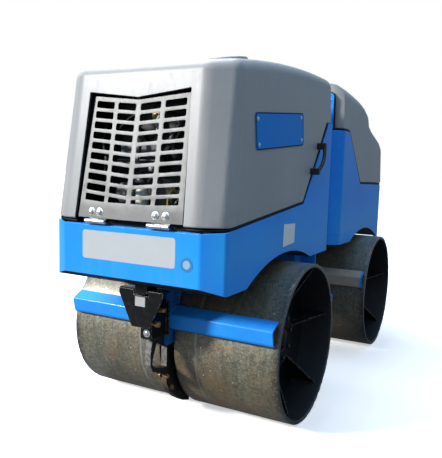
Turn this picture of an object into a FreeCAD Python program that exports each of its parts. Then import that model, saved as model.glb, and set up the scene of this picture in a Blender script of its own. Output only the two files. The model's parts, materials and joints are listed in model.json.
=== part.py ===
"""Articulated, remote-controlled trench roller with four steel drum halves.

Frame: +Z up, ground at Z = 0, the grille end faces -Y, +X is the right hand
seen from that end.  The machine is drawn about its articulation pivot and is
then moved along Y by SHIFT_Y, so that the origin lies on the ground under the
middle of its overall length and width.
"""
import FreeCAD, Part
import math
import os

V = FreeCAD.Vector
os.makedirs("parts", exist_ok=True)

# ------------------------------------------------------------ driving sizes
DRUM_W = 850.0          # width over the drums
DRUM_R = 290.0          # drum radius
AXLE = 550.0            # distance of each axle from the articulation pivot
SHELL_T = 14.0          # drum shell
GAP = 30.0              # half of the gap between the two drum halves
DISC_X = 300.0          # outer face of the drum's disc
SHAFT_R = 35.0
RUN = 0.05              # radial clearance of a running fit

BODY_X = 330.0          # half width of both bodies
NOSE_X = 260.5          # half width of the front plate between the corner chamfers
NOSE_Y = 1073.0         # front plate
NOSE_C = 1029.0         # where the corner chamfer meets the side
TAIL_Y = 958.0          # rear plate
TAIL_C = 914.0
PLATE = 8.0             # body plate thickness
FRONT_BACK = 85.0       # front body's rear plate, behind the pivot
REAR_FACE = 75.0        # rear body's front plate
REAR_CH = 115.0         # rear body's front corner chamfer meets the side here
REAR_CX = 283.0         # half width of its front plate
ARCH_R = 720.8          # wheel arch radius
ARCH_Y = 560.0          # arch centre from the pivot
ARCH_TOP = 618.0
SKIRT_Z = 537.5         # lower edge at the outer ends
SKIRT_IN = 570.0        # lower edge at the inner ends
NOSE_Z = 559.0          # lower edge of the front plate
NOSE_TOP = 722.0        # top of the front plate

HOOD_T = 7.0            # moulded hood wall
PIVOT_R = 20.0          # articulation pin
PIVOT_Z = 700.0         # height of the oscillation shaft
ARM_X, CYL_Z, CYL_L, CYL_ANG = 110.0, 500.0, 222.0, 30.0   # rod eye's arm, height, pin to pin, plan angle from +Y
BASE_X = ARM_X - CYL_L * math.sin(math.radians(CYL_ANG))
BASE_Y = -CYL_L * math.cos(math.radians(CYL_ANG))
HINGE_Y, HINGE_Z = 1083.0, 735.0            # hinge line of the front hood
RH_HINGE_Y, RH_HINGE_Z = 966.0, 848.0       # hinge line of the rear hood
SHIFT_Y = 56.0          # pivot to the middle of the overall length


# ----------------------------------------------------------------- helpers
def box(x0, x1, y0, y1, z0, z1):
    return Part.makeBox(x1 - x0, y1 - y0, z1 - z0, V(x0, y0, z0))


def cyl(p, axis, r, h):
    return Part.makeCylinder(r, h, V(*p), V(*axis))


def tube(p, axis, r_out, r_in, h):
    return cyl(p, axis, r_out, h).cut(cyl(p, axis, r_in, h))


def wire(points):
    """Closed wire of straight edges; a 3-tuple item ("arc", mid, end) is an arc."""
    edges, here, first = [], None, None
    for p in points:
        if p[0] == "arc":
            edges.append(Part.Arc(here, V(*p[1]), V(*p[2])).toShape())
            here = V(*p[2])
        else:
            q = V(*p)
            if here is not None and (q - here).Length > 1e-6:
                edges.append(Part.makeLine(here, q))
            here = q
            first = first or q
    if (first - here).Length > 1e-6:
        edges.append(Part.makeLine(here, first))
    return Part.Wire(edges)


def prism(points, direction):
    return Part.Face(wire(points)).extrude(V(*direction))


def prism_x(yz, x0, x1):
    """Extrusion along X of a (Y, Z) outline."""
    pts = []
    for p in yz:
        if p[0] == "arc":
            pts.append(("arc", (x0,) + tuple(p[1]), (x0,) + tuple(p[2])))
        else:
            pts.append((x0, p[0], p[1]))
    return prism(pts, (x1 - x0, 0, 0))


def prism_y(xz, y0, y1):
    return prism([(p[0], y0, p[1]) for p in xz], (0, y1 - y0, 0))


def prism_z(xy, z0, z1):
    return prism([(p[0], p[1], z0) for p in xy], (0, 0, z1 - z0))


def mirror_x(s):
    return s.mirror(V(0, 0, 0), V(1, 0, 0))


def mirror_y(s):
    return s.mirror(V(0, 0, 0), V(0, 1, 0))


def both(s):
    return [s, mirror_x(s)]


def fuse(shapes):
    s = shapes[0]
    if len(shapes) > 1:
        s = s.multiFuse(shapes[1:])
    return s.removeSplitter()


def fillet(s, r, test):
    """Rounds every edge whose two end points and middle pass test(p0, p1, mid)."""
    edges = []
    for e in s.Edges:
        vs = [v.Point for v in e.Vertexes]
        if len(vs) < 2:
            continue
        mid = e.valueAt((e.FirstParameter + e.LastParameter) / 2)
        if test(vs[0], vs[-1], mid):
            edges.append(e)
    return s.makeFillet(r, edges) if edges else s


def rounded_box(x0, x1, y0, y1, z0, z1, r, along):
    s = box(x0, x1, y0, y1, z0, z1)
    i = "xyz".index(along)
    return fillet(s, r, lambda a, b, m: abs(abs(a[i] - b[i]) - [x1 - x0, y1 - y0, z1 - z0][i]) < 1e-6
                  and all(abs(a[j] - b[j]) < 1e-6 for j in range(3) if j != i))


PARTS = {}


def put(name, shapes):
    if not isinstance(shapes, (list, tuple)):
        shapes = [shapes]
    solids = []
    for s in shapes:
        solids += s.Solids
    for s in solids:
        if not s.isValid():
            print("INVALID solid in", name)
    PARTS[name] = Part.makeCompound(solids) if len(solids) > 1 else solids[0]


# ------------------------------------------------------------- body tubs
def arch(sign):
    """(start, mid, end) of the wheel arch on a body's lower edge, outer end first."""
    def z(y):
        d = y - ARCH_Y
        return ARCH_TOP - ARCH_R + math.sqrt(ARCH_R ** 2 - d * d)
    y_out, y_in = 891.0, 300.0
    return [(sign * y, z(y)) for y in (y_out, ARCH_Y, y_in)]


def footprint(nose_x, nose_y, nose_c, side_x, back, t, cx=None, cy=None):
    """Plan outline inset by t: a nose at -Y with corner chamfers, and a straight back,
    chamfered too if cx, cy are given."""
    ang = math.atan2(nose_y - nose_c, side_x - nose_x)
    k = t * math.tan(ang / 2)            # inset of the two chamfer corners
    k2 = t * math.tan((math.pi / 2 - ang) / 2)
    half = [(nose_x - k, -(nose_y - t)), (side_x - t, -(nose_c - k2))]
    if cx is None:
        half += [(side_x - t, -(back + t))]
    else:
        a2 = math.atan2(cy - back, side_x - cx)
        half += [(side_x - t, -(cy + t * math.tan((math.pi / 2 - a2) / 2))),
                 (cx - t * math.tan(a2 / 2), -(back + t))]
    return half + [(-x, y) for x, y in reversed(half)]


def tub(side, nose_x, nose_y, nose_c, back, nose_z, top, inner_z, cx=None, cy=None):
    """An open-topped body of bent plate. side is the table of (Y, Z) of its upper edge."""
    sy = -1
    a = arch(sy)
    lower = [(-nose_y - 5, nose_z), (-nose_y, nose_z), (-nose_c, SKIRT_Z), (a[0][0], SKIRT_Z), a[0],
             ("arc", a[1], a[2]), (-back + 5, inner_z)]
    outline = lower + [(p[0], p[1]) for p in side]
    out = prism_z(footprint(nose_x, nose_y, nose_c, BODY_X, back, 0, cx, cy), 480, 1300)
    out = fillet(out, 22, lambda p, q, m: abs(p.z - q.z) > 500 and (m.y < -nose_c + 1 or cx is not None))
    out = out.common(prism_x(outline, -400, 400))
    core = prism_z(footprint(nose_x, nose_y, nose_c, BODY_X, back, PLATE, cx, cy), 480, 1300)
    core = fillet(core, 14, lambda p, q, m: abs(p.z - q.z) > 500 and (m.y < -nose_c + 10 or cx is not None))
    lift = [(-nose_y - 5, nose_z + PLATE), (-nose_y, nose_z + PLATE), (-nose_c, SKIRT_Z + PLATE),
            (a[0][0], SKIRT_Z + PLATE), (a[0][0], a[0][1] + PLATE),
            ("arc", (a[1][0], a[1][1] + PLATE), (a[2][0], a[2][1] + PLATE)), (-back + 5, inner_z + PLATE),
            (-back + 5, 1400), (-nose_y - 5, 1400)]
    core = core.common(prism_x(lift, -400, 400))
    return out.cut(core)


# front body: upper edge from the rear corner to the nose
FRONT_EDGE = [(-FRONT_BACK + 5, 1114), (-131, 1114), (-399, 787), (-1013, 729), (-NOSE_C, 727),
              (-NOSE_Y, NOSE_TOP), (-NOSE_Y - 5, NOSE_TOP)]
front = tub(FRONT_EDGE, NOSE_X, NOSE_Y, NOSE_C, FRONT_BACK, NOSE_Z, NOSE_TOP, SKIRT_IN)
# the rear plate is lower than the side uprights, and opens for the pivot housing
front = front.cut(box(-262, 262, -FRONT_BACK - PLATE - 2, -FRONT_BACK + 2, 900, 1200))
front = front.cut(cyl((0, -FRONT_BACK - 30, PIVOT_Z), (0, 1, 0), 75, 60))
# folded top flange of the front plate
flange = prism_x([(-NOSE_Y + 2, NOSE_TOP - 6), (-NOSE_Y + 2, NOSE_TOP), (-NOSE_Y + 34, NOSE_TOP + 2),
                  (-NOSE_Y + 34, NOSE_TOP - 4)], -NOSE_X + 6, NOSE_X - 6)
# stepped skirt plates hung from the floor behind the drums, each side of the steering link
bulge = [(125, -195), (228, -195), (238, -160), (306, -160), (306, -152), (231, -152), (222, -187), (125, -187)]
skirts = both(prism_z(bulge, 478, 572))
front = fuse([front, flange] + skirts)
put("front_chassis", front)

# rear body: mirror of the same tub, shorter, with a chamfered front corner
REAR_EDGE = [(-REAR_FACE + 5, 1105), (-202, 1105), (-446, 856), (-TAIL_C, 848), (-TAIL_Y, 840), (-TAIL_Y - 5, 840)]
rear = tub(REAR_EDGE, NOSE_X, TAIL_Y, TAIL_C, REAR_FACE, NOSE_Z, 840, SKIRT_IN + 3, REAR_CX, REAR_CH)
rear = rear.cut(box(-240, 240, -REAR_FACE - PLATE - 2, -REAR_FACE + 2, 900, 1200))
# the floor behind the drums is level and higher than the side plates
TAIL_Z = 550.0
inside = prism_z(footprint(NOSE_X, TAIL_Y, TAIL_C, BODY_X, REAR_FACE, PLATE, REAR_CX, REAR_CH), 500, TAIL_Z + PLATE)
inside = inside.common(box(-400, 400, -TAIL_Y - 10, -700, 500, TAIL_Z + PLATE))
floor = prism_z(footprint(NOSE_X, TAIL_Y, TAIL_C, BODY_X, REAR_FACE, PLATE - 2, REAR_CX, REAR_CH), TAIL_Z, TAIL_Z + PLATE)
floor = floor.common(box(-400, 400, -TAIL_Y - 10, -862, TAIL_Z, TAIL_Z + PLATE))
rear = fuse([rear.cut(inside.common(box(-400, 400, -1000, -862, 500, TAIL_Z))), floor])
rear = rear.cut(box(-BODY_X + PLATE, BODY_X - PLATE, -880, -850, 500, TAIL_Z))
rear = mirror_y(rear)
put("rear_chassis", rear)

# upright blue plate of the rear body between the two hoods, carrying the lifting eye
STRIP_X, STRIP_TOP = 280.0, 1273.0
half = [(270, 905), (270, 1109), (STRIP_X, 1109), (STRIP_X, STRIP_TOP)]
upright = prism_y(half + [(-x, z) for x, z in reversed(half)], REAR_FACE + PLATE, REAR_FACE + PLATE + 7)
upright = fillet(upright, 16, lambda p, q, m: abs(p.y - q.y) > 5 and m.z > STRIP_TOP - 1)
put("rear_upright", upright)
EYE_R, EYE_Y, EYE_Z, EYE_T = 25.0, 34.0, 1300.0, 12.0
flange_y = REAR_FACE + PLATE
eye = prism_x([(flange_y, 1130), (flange_y, 1300), (EYE_Y, 1300), (EYE_Y - 46, 1288), (EYE_Y - 20, 1215), (flange_y - 22, 1130)],
              -EYE_T / 2, EYE_T / 2)
eye = fuse([eye, cyl((-EYE_T / 2, EYE_Y, EYE_Z), (1, 0, 0), 48, EYE_T), box(-60, 60, flange_y - 8, flange_y, 1130, 1262)])
eye = eye.cut(cyl((-20, EYE_Y, EYE_Z), (1, 0, 0), EYE_R, 40))
put("lifting_eye", eye)

# ----------------------------------------------------------------- hoods
CROWN_R, CROWN_Y, CROWN_Z = 4700.0, -150.0, 1307.0      # the roof is one long arc, highest near its rear edge
FH_BACK = 34.0            # rear end of the front hood at Z = 700, and 74 further forward at Z = 1340


def crown_z(y, t=0.0):
    return CROWN_Z - CROWN_R + math.sqrt((CROWN_R - t) ** 2 - (y - CROWN_Y) ** 2)


def hood_front(t):
    """Front hood's outer (t = 0) or inner (t = wall) form."""
    def ring(z, ny, nx, cy, cx, back):
        k = t
        return [V(-nx + .4 * k, -ny + k, z), V(nx - .4 * k, -ny + k, z), V(cx - k, -cy + .45 * k, z),
                V(cx - k, -back - k, z), V(-cx + k, -back - k, z), V(-cx + k, -cy + .45 * k, z)]
    lo = ring(700, 1086, 252, 1034, 330.8, FH_BACK)
    hi = ring(1340, 1000, 238, 932, 319.5, FH_BACK + 74)
    wires = [Part.makePolygon(r + [r[0]]) for r in (lo, hi)]
    s = Part.makeLoft(wires, True, True)
    crown = prism_x([(-1200, 500), (-1200, crown_z(-1200, t)), ("arc", (-600, crown_z(-600, t)), (-50, crown_z(-50, t))),
                     (-50, 500)], -400, 400)
    s = s.common(crown)
    s = fillet(s, 60 - t, lambda p, q, m: abs(p.z - q.z) > 350 and m.y < -500)
    return fillet(s, 42 - t, lambda p, q, m: m.z > 1150 and min(p.z, q.z) > 1150 and m.y < -150)


def cut_below(s, edge):
    """Keeps what lies above the table of (Y, Z), given from nose to rear."""
    low = [(edge[0][0], 300)] + list(edge) + [(edge[-1][0], 300)]
    return s.cut(prism_x(low, -420, 420))


FH_EDGE = [(-1200, 742), (-1013, 739), (-408, 796), (-138, 1120), (0, 1120)]
outer, inner = hood_front(0), hood_front(HOOD_T)
hood = cut_below(outer.cut(inner), FH_EDGE)
# grille window with a shallow V in its upper edge
WIN = [(-207, 600), (207, 600), (207, 751), (191.5, 1147), (0, 1125), (-191.5, 1147), (-207, 751)]
hood = hood.cut(prism_y(WIN, -1200, -930))
put("front_hood", hood)

# grille sheet, two flat halves with a shallow fold on the centre line
G_T = 3.0
G_LO, G_HI = (745.0, -1072.0), (1136.0, -1010.0)     # (Z, Y) of the sheet's outer edges, low and high
G_FOLD = 8.0                                          # the centre line stands this much forward
lean = math.atan2(G_HI[1] - G_LO[1], G_HI[0] - G_LO[0])


def sheet_y(x, z):
    f = (z - G_LO[0]) / (G_HI[0] - G_LO[0])
    return G_LO[1] + f * (G_HI[1] - G_LO[1]) - G_FOLD * (1 - abs(x) / 200.0)


def sheet_half(sgn):
    """One half of the folded sheet as a sheared prism."""
    corners = [(0, 745), (sgn * 200, 745), (sgn * 184, 1136), (0, 1118)]
    f0 = [V(x, sheet_y(x, z), z) for x, z in corners]
    f1 = [p + V(0, G_T, 0) for p in f0]
    # the sheet is ruled between its centre line and its outer edge
    a = Part.makePolygon([f0[0], f0[3], f1[3], f1[0], f0[0]])
    b = Part.makePolygon([f0[1], f0[2], f1[2], f1[1], f0[1]])
    return Part.makeLoft([a, b], True, True)


SLOT_ROWS, SLOT_H, ROW_PITCH, ROW_TOP = 10, 22.0, 33.1, 1120.5
SLOT_IN = [(9.0, 82.0), (97.5, 172.0)]                # inner and outer column on each side of the centre line
SLOT_FLARE, SLOT_DIP, LAST_Z = 0.75, 15.5, 796.0      # outer ends widen downwards, rows dip to the centre, last row is cut level
grille = fuse([sheet_half(1), sheet_half(-1)])
cutters = []
for row in range(SLOT_ROWS):
    zt = ROW_TOP - row * ROW_PITCH
    for n, (c0, c1) in enumerate(SLOT_IN):
        c1 += SLOT_FLARE * row * n
        for sg in (-1, 1):
            dip = lambda x: -SLOT_DIP * (1 - abs(x) / 174.0)
            pts = [(sg * c0, zt - SLOT_H + dip(c0)), (sg * c1, zt - SLOT_H + dip(c1)),
                   (sg * c1, zt + dip(c1)), (sg * c0, zt + dip(c0))]
            if row == SLOT_ROWS - 1:
                pts = [(x, max(z, LAST_Z)) for x, z in pts]
            s = prism_y(pts, -1100, -980)
            cutters.append(fillet(s, 5.5 if row < SLOT_ROWS - 1 else 3.5, lambda p, q, m: abs(p.y - q.y) > 50))
grille = grille.cut(Part.makeCompound(cutters))
put("front_grille", grille)

# black frame between the hood and the sheet
def win(k, z0):
    """Window outline with its sides moved out by k and its lower edge at z0."""
    top = [(191.5 + k, 1147 + k), (0, 1125 + k), (-191.5 - k, 1147 + k)]
    return [(-207.5 - k, z0), (207.5 + k, z0), (207.5 + k, 751)] + top + [(-207.5 - k, 751)]


def slab(y_lo, y_hi):
    """Leaning slab between two planes, each given by its Y at Z = 745 and at Z = 1136."""
    def at(p, z):
        return p[0] + (z - 745) / 391.0 * (p[1] - p[0])
    return prism_x([(at(y_lo, 700), 700), (at(y_lo, 1200), 1200), (at(y_hi, 1200), 1200), (at(y_hi, 700), 700)], -260, 260)


ring_a = prism_y(win(16, 748), -1100, -980).cut(prism_y(win(0, 700), -1110, -970))
ring_b = prism_y(win(2, 748), -1100, -980).cut(prism_y(win(-17, 772), -1110, -970))
frame_ = fuse([ring_a.common(slab((-1072.6, -1020.2), (-1058, -998))),
               ring_b.common(slab((-1068.8, -1008.8), (-1058, -998)))])
HINGE_X = 121.0           # the front hood's two hinges
for cx in (-HINGE_X, HINGE_X):      # room for the hinge leaves behind the sheet
    frame_ = frame_.cut(box(cx - 36, cx + 36, -1080, -1040, 730, 781))
put("grille_frame", frame_)

# low round cap on the hood's roof
CAP_X, CAP_Y, CAP_R, CAP_H = 190.0, -800.0, 66.0, 12.0
cap_z = crown_z(CAP_Y)
dome = cyl((CAP_X, CAP_Y, cap_z - 12), (0, 0, 1), CAP_R, 12 + CAP_H)
dome = dome.makeFillet(6, [e for e in dome.Edges if e.BoundBox.ZMin > cap_z + 5])
dome.rotate(V(CAP_X, CAP_Y, cap_z), V(1, 0, 0), math.degrees(math.asin((CROWN_Y - CAP_Y) / CROWN_R)))   # square to the roof
put("hood_cap", dome.cut(outer))

# ---------------------------------------------------------- name plates, grips
plate = box(BODY_X - 8, BODY_X + 3, -862, -432, 985, 1105)
NP = [(-865, 1090), (-439, 1129), (-430, 1009), (-851, 972)]


def side_x(z):
    return 330.8 - (z - 700) * 11.3 / 640


np_ = prism_x(NP, 300, 340)
np_ = fillet(np_, 14, lambda p, q, m: abs(p.x - q.x) > 20)
band = Part.makeLoft([Part.makePolygon([V(side_x(z) + d, y, z) for d in (0.3, 3.3)] +
                                       [V(side_x(z + 200) + d, y, z + 200) for d in (3.3, 0.3)] +
                                       [V(side_x(z) + 0.3, y, z)]) for y, z in ((-900, 950), (-400, 950))], True, True)
np_ = np_.common(band)
put("side_nameplates", both(np_))


def bow(y0, z0, y1, z1, stand, r):
    """Curved bow grip between two feet on the side at (y0, z0) and (y1, z1)."""
    feet = [rounded_box(side_x(z) + 0.4, side_x(z) + stand, y - 9.5, y + 9.5, z - 13, z + 13, 5, "x") for y, z in ((y0, z0), (y1, z1))]
    a, b = [V(side_x(z) + stand - r - 0.3, y, z) for y, z in ((y0, z0), (y1, z1))]
    m = (a + b) * 0.5 + V(8, 14, 3)
    path = Part.Wire([Part.Arc(a, m, b).toShape()])
    t0 = path.Edges[0].tangentAt(path.Edges[0].FirstParameter)
    ring = Part.Wire([Part.makeCircle(r, path.Edges[0].valueAt(path.Edges[0].FirstParameter), t0)])
    return fuse(feet + [path.makePipeShell([ring], True, False)])


put("hood_grips", both(bow(-253, 1015, -327, 913, 36, 7.5)))

# ---------------------------------------------------------------- hood hinges
KN_R, KN_PIN = 7.0, 3.5
leaves, pins = [], []
for cx in (-HINGE_X, HINGE_X):
    # upper leaf behind the sheet's plain band, with the middle knuckle in front of its lower edge
    leaf = prism_x([(-1070.0, 741), (-1065.0, 741), (-1059.4, 777), (-1064.4, 777)], cx - 33, cx + 33)
    kn = tube((cx - 13, -HINGE_Y, HINGE_Z), (1, 0, 0), KN_R, KN_PIN + RUN, 26)
    neck = box(cx - 13, cx + 13, -HINGE_Y + 3, -1066, HINGE_Z + 2, HINGE_Z + 7).cut(cyl((cx - 14, -HINGE_Y, HINGE_Z), (1, 0, 0), KN_R - 1, 28))
    leaves.append(fuse([leaf, kn, neck]))
    side = []
    for a, b in ((cx - 38, cx - 14), (cx + 14, cx + 38)):
        side.append(tube((a, -HINGE_Y, HINGE_Z), (1, 0, 0), KN_R, KN_PIN - 0.5, b - a))
        side.append(prism_x([(-HINGE_Y + 2, HINGE_Z - 8), (-1052, NOSE_TOP + 2.2), (-1052, NOSE_TOP + 6), (-HINGE_Y + 6.5, HINGE_Z + 1)], a, b)
                    .cut(cyl((a - 1, -HINGE_Y, HINGE_Z), (1, 0, 0), KN_R - 1, b - a + 2)))
    pin = cyl((cx - 39, -HINGE_Y, HINGE_Z), (1, 0, 0), KN_PIN, 78)
    pins.append(fuse(side + [pin]))
put("front_hood_hinge_leaves", leaves)
put("front_hood_hinge_pins", pins)

# ------------------------------------------------------------------ rear hood
# roof line of the rear hood: Y, Z and the radius along its side edges
RH_ROOF = [(60, 1321, 72), (118, 1322, 72), (220, 1317, 70), (332, 1304, 64), (440, 1289, 60), (515, 1272, 58), (575, 1246, 54),
           (598, 1196, 50), (680, 1161, 50), (782, 1133, 48), (860, 1108, 44), (910, 1072, 40), (940, 1010, 36), (990, 870, 36)]


def rh_side(z):
    return 330.8 - (z - 820) * 10.8 / 520


def hood_rear(t):
    """Rear hood's outer (t = 0) or inner form, drawn towards +Y: cross-sections with round
    shoulders, cut to a plan outline with chamfered corners."""
    wires = []
    for y, zt, r in RH_ROOF:
        z, w, q = zt - t, rh_side(zt) - t, r - t
        c = math.sqrt(0.5)
        lowx = rh_side(700) - t
        wires.append(wire([(-lowx, y, 700), (lowx, y, 700), (w, y, z - q),
                           ("arc", (w - q + q * c, y, z - q + q * c), (w - q, y, z)),
                           (-w + q, y, z), ("arc", (-w + q - q * c, y, z - q + q * c), (-w, y, z - q))]))
    body = Part.makeLoft(wires, True, True)

    def ring(z, front_y, fx, fc, tail_c, tx, tail):
        k = t
        wide = [(fx - .4 * k, front_y + k), (fx + 2.6 * (fc - front_y) - .4 * k, front_y + 1.466 * (fc - front_y) + k)]
        wide += [(wide[1][0], tail_c - 30), (tx + 1.8 * (tail - tail_c) - .4 * k, tail_c - 4 - k), (tx - .4 * k, tail - k)]
        half = [V(x, y, z) for x, y in wide]
        return half + [V(-p.x, p.y, p.z) for p in reversed(half)]
    lo = ring(690, 97, 290, 120, 926, 262, 968)
    hi = ring(1340, 101, 280, 125, 876, 250, 918)
    plan = Part.makeLoft([Part.makePolygon(r + [r[0]]) for r in (lo, hi)], True, True)
    return body.common(plan)


RH_EDGE = [(0, 1115), (205, 1115), (450, 866), (1100, 858)]
rh = hood_rear(0).cut(hood_rear(HOOD_T))
low = [(0, 300)] + RH_EDGE + [(1100, 300)]
rh = rh.cut(prism_x(low, -420, 420))
put("rear_hood", rh)

rleaves, rpins = [], []
for cx in (-130.0, 130.0):
    leaf = prism_x([(963, 862), (967, 862), (961, 900), (957, 900)], cx - 30, cx + 30)
    kn = tube((cx - 12, RH_HINGE_Y + 5, RH_HINGE_Z), (1, 0, 0), KN_R, KN_PIN + RUN, 24)
    neck = box(cx - 12, cx + 12, 962, RH_HINGE_Y + 3, RH_HINGE_Z + 1, 866).cut(cyl((cx - 13, RH_HINGE_Y + 5, RH_HINGE_Z), (1, 0, 0), KN_R - 1, 26))
    rleaves.append(fuse([leaf, kn, neck]))
    side = []
    for a, b in ((cx - 32, cx - 13), (cx + 13, cx + 32)):
        side.append(tube((a, RH_HINGE_Y + 5, RH_HINGE_Z), (1, 0, 0), KN_R, KN_PIN - 0.5, b - a))
        side.append(box(a, b, TAIL_Y + 0.2, TAIL_Y + 4, RH_HINGE_Z - 40, RH_HINGE_Z - 3))
        side.append(box(a, b, TAIL_Y + 0.2, RH_HINGE_Y + 6, RH_HINGE_Z - 9, RH_HINGE_Z - 3).cut(cyl((a - 1, RH_HINGE_Y + 5, RH_HINGE_Z), (1, 0, 0), KN_R - 1, b - a + 2)))
    pin = cyl((cx - 33, RH_HINGE_Y + 5, RH_HINGE_Z), (1, 0, 0), KN_PIN, 66)
    rpins.append(fuse(side + [pin]))
put("rear_hood_hinge_leaves", rleaves)
put("rear_hood_hinge_pins", rpins)

# ------------------------------------------------------------- engine, tank
put("engine_block", rounded_box(-200, 200, -900, -390, 640, 1110, 12, "x"))
fan = [cyl((0, -960, 930), (0, 1, 0), 165, 40), box(-190, 190, -920, -901, 720, 1120)]
put("engine_cooling_fan", fuse(fan))
put("hydraulic_tank", rounded_box(-210, 210, 300, 800, 640, 840, 12, "x"))

# ---------------------------------------------------- drum carriers (per axle)
BAR_X = 413.0
BAR = [(270, 431), (318, 407), (309, 358), (300, 350)]       # outer face of a drum guard, from the axle
COL_X = 24.0


def thick_profile(pts, t):
    """Closed outline of a bent strip of thickness t on the axle side of pts."""
    outp, inp = [], []
    n = len(pts)
    for i, p in enumerate(pts):
        a = pts[max(i - 1, 0)]
        b = pts[min(i + 1, n - 1)]
        d1 = V(p[0] - a[0], p[1] - a[1], 0)
        d2 = V(b[0] - p[0], b[1] - p[1], 0)
        if d1.Length < 1e-9:
            d1 = d2
        if d2.Length < 1e-9:
            d2 = d1
        d1.normalize()
        d2.normalize()
        n1, n2 = V(d1.y, -d1.x, 0), V(d2.y, -d2.x, 0)
        m = n1 + n2
        m.normalize()
        k = t / max(m.dot(n1), 0.3)
        inp.append((p[0] + m.x * k * 1.0, p[1] + m.y * k))
        outp.append(p)
    return outp, inp


# rubber mounts: one on each outer column, two on brackets of each inner guard
MOUNT_Z, MOUNT_X, MOUNT_Y, MOUNT_R = 470.0, 98.0, 350.0, 20.0
MOUNT_TOP = {"front": (537.3, 569.3), "rear": (TAIL_Z - 0.2, 570.3)}        # under the outer and inner floor
COL_Y, COL_TOP = 287.0, 500.0
STOP_X, STOP_Y = 247.0, 350.0                   # rubber stops under the nose


def side_of(end, sy):
    return "outer" if (sy < 0) == (end == "front") else "inner"


def guard(end, sy, axle):
    """Two bent guard bars, left and right of the column, on the sy side of the axle; the
    inner ones carry a bracket under each rubber mount."""
    o, i = thick_profile(BAR, 8.0)
    ring = o + list(reversed(i))
    ring = [(axle + sy * y, z) for y, z in ring]
    right = prism_x(ring, COL_X + 0.0, BAR_X)
    if side_of(end, sy) == "outer":
        return both(right)
    x, r = MOUNT_X, MOUNT_R + 3
    ys = sorted((axle + sy * 310, axle + sy * 318))
    yp = sorted((axle + sy * 310, axle + sy * (MOUNT_Y + r)))
    riser = box(x - r, x + r, ys[0], ys[1], 404, MOUNT_Z)
    shelf = box(x - r, x + r, yp[0], yp[1], MOUNT_Z - 8, MOUNT_Z)
    return both(fuse([right, riser, shelf]))


def carrier(axle):
    """Centre plate between the drum halves, with its two end columns and axle bearing."""
    z = lambda y: ARCH_TOP - 18 - ARCH_R + math.sqrt(ARCH_R ** 2 - y * y)
    web = prism_x([(axle - 300, 300), (axle + 300, 300), (axle + 300, 498), (axle + 262, 498), (axle + 250, z(250)),
                   ("arc", (axle, z(0)), (axle - 250, z(250))), (axle - 262, 498), (axle - 300, 498)], -22, 22)
    boss = cyl((-26, axle, DRUM_R), (1, 0, 0), 105, 52)
    cols = [box(-COL_X, COL_X, axle + s * COL_Y - 37, axle + s * COL_Y + 37, 296, COL_TOP) for s in (-1, 1)]
    lower = prism_x([(axle - 120, 302), (axle + 120, 302), (axle + 80, 215), (axle - 80, 215)], -22, 22)
    s = fuse([web, boss, lower] + cols)
    return s.cut(cyl((-40, axle, DRUM_R), (1, 0, 0), SHAFT_R + RUN, 80))


def mounts(end, axle):
    out = []
    for sy in (-1, 1):
        if side_of(end, sy) == "outer":
            out.append(cyl((0, axle + sy * COL_Y, COL_TOP), (0, 0, 1), MOUNT_R, MOUNT_TOP[end][0] - COL_TOP))
        else:
            out += both(cyl((MOUNT_X, axle + sy * MOUNT_Y, MOUNT_Z), (0, 0, 1), MOUNT_R, MOUNT_TOP[end][1] - MOUNT_Z))
    if end == "front":
        stop = cyl((STOP_X, axle - STOP_Y, 506), (0, 0, 1), 20, 31.3)
        out += both(stop.makeFillet(5, [e for e in stop.Edges if e.BoundBox.ZMax < 507]))
    return out


GUSSETS = [10, 70, 130, 190, 250, 310]                # angles of the six gussets in each drum end


def drum_shell(axle):
    """Right half's shell, with a softened outer rim."""
    s = tube((GAP, axle, DRUM_R), (1, 0, 0), DRUM_R, DRUM_R - SHELL_T, DRUM_W / 2 - GAP)
    return s.makeFillet(2.5, [e for e in s.Edges if e.BoundBox.XMin > DRUM_W / 2 - 1])


def drum_disc(axle):
    """Right half's disc with its hub, and six sloped gussets."""
    r = DRUM_R - SHELL_T - 0.1
    disc = fuse([cyl((DISC_X - 12, axle, DRUM_R), (1, 0, 0), r, 12), cyl((DISC_X - 30, axle, DRUM_R), (1, 0, 0), 110, 48)])
    out = [disc.cut(cyl((DISC_X - 60, axle, DRUM_R), (1, 0, 0), SHAFT_R, 120))]
    for a in GUSSETS:
        g = prism_z([(DISC_X, 112), (DISC_X + 14, 112), (DISC_X + 100, r - 2.5), (DISC_X, r - 2.5)], -4, 4)
        # the gusset is drawn in the X-Y plane and turned about X to its place
        g.rotate(V(0, 0, 0), V(1, 0, 0), a)
        g.translate(V(0, axle, DRUM_R))
        out.append(g)
    return out


def axle_shaft(axle):
    return cyl((-DISC_X, axle, DRUM_R), (1, 0, 0), SHAFT_R, 2 * DISC_X)


def scraper(axle, sy):
    """Thick tie-down plate with a hole, and the curved centre scraper below it, in the gap between the drum halves."""
    p = prism_x([(axle + sy * u, z) for u, z in ((248, 295.8), (326, 295.8), (326, 332), (394, 332), (404, 286), (404, 246), (392, 222),
                                                 (330, 193), (300, 178), (248, 178))], -12, 12)
    p = fillet(p, 9, lambda a, b, m: abs(a.x - b.x) > 20 and m.z < 300 and abs(m.y - axle) > 380)
    slot = prism_x([(axle + sy * u, z) for u, z in ((306, 286), (368, 316), (390, 262), (391, 246), (374, 231), (306, 214))], -20, 20)
    slot = fillet(slot, 5, lambda a, b, m: abs(a.x - b.x) > 20)
    pts = []
    for ang, r0, r1 in ((-16, 246, 318), (-24, 252, 334), (-32, 262, 332), (-42, 272, 318), (-52, 280, 306), (-60, 287, 295)):
        c, s = math.cos(math.radians(ang)), math.sin(math.radians(ang))
        pts.append(((axle + sy * r0 * c, DRUM_R + r0 * s), (axle + sy * r1 * c, DRUM_R + r1 * s)))
    claw = prism_x([p_[0] for p_ in pts] + [p_[1] for p_ in reversed(pts)], -12, 12)
    return fuse([p.cut(slot), claw])


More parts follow.
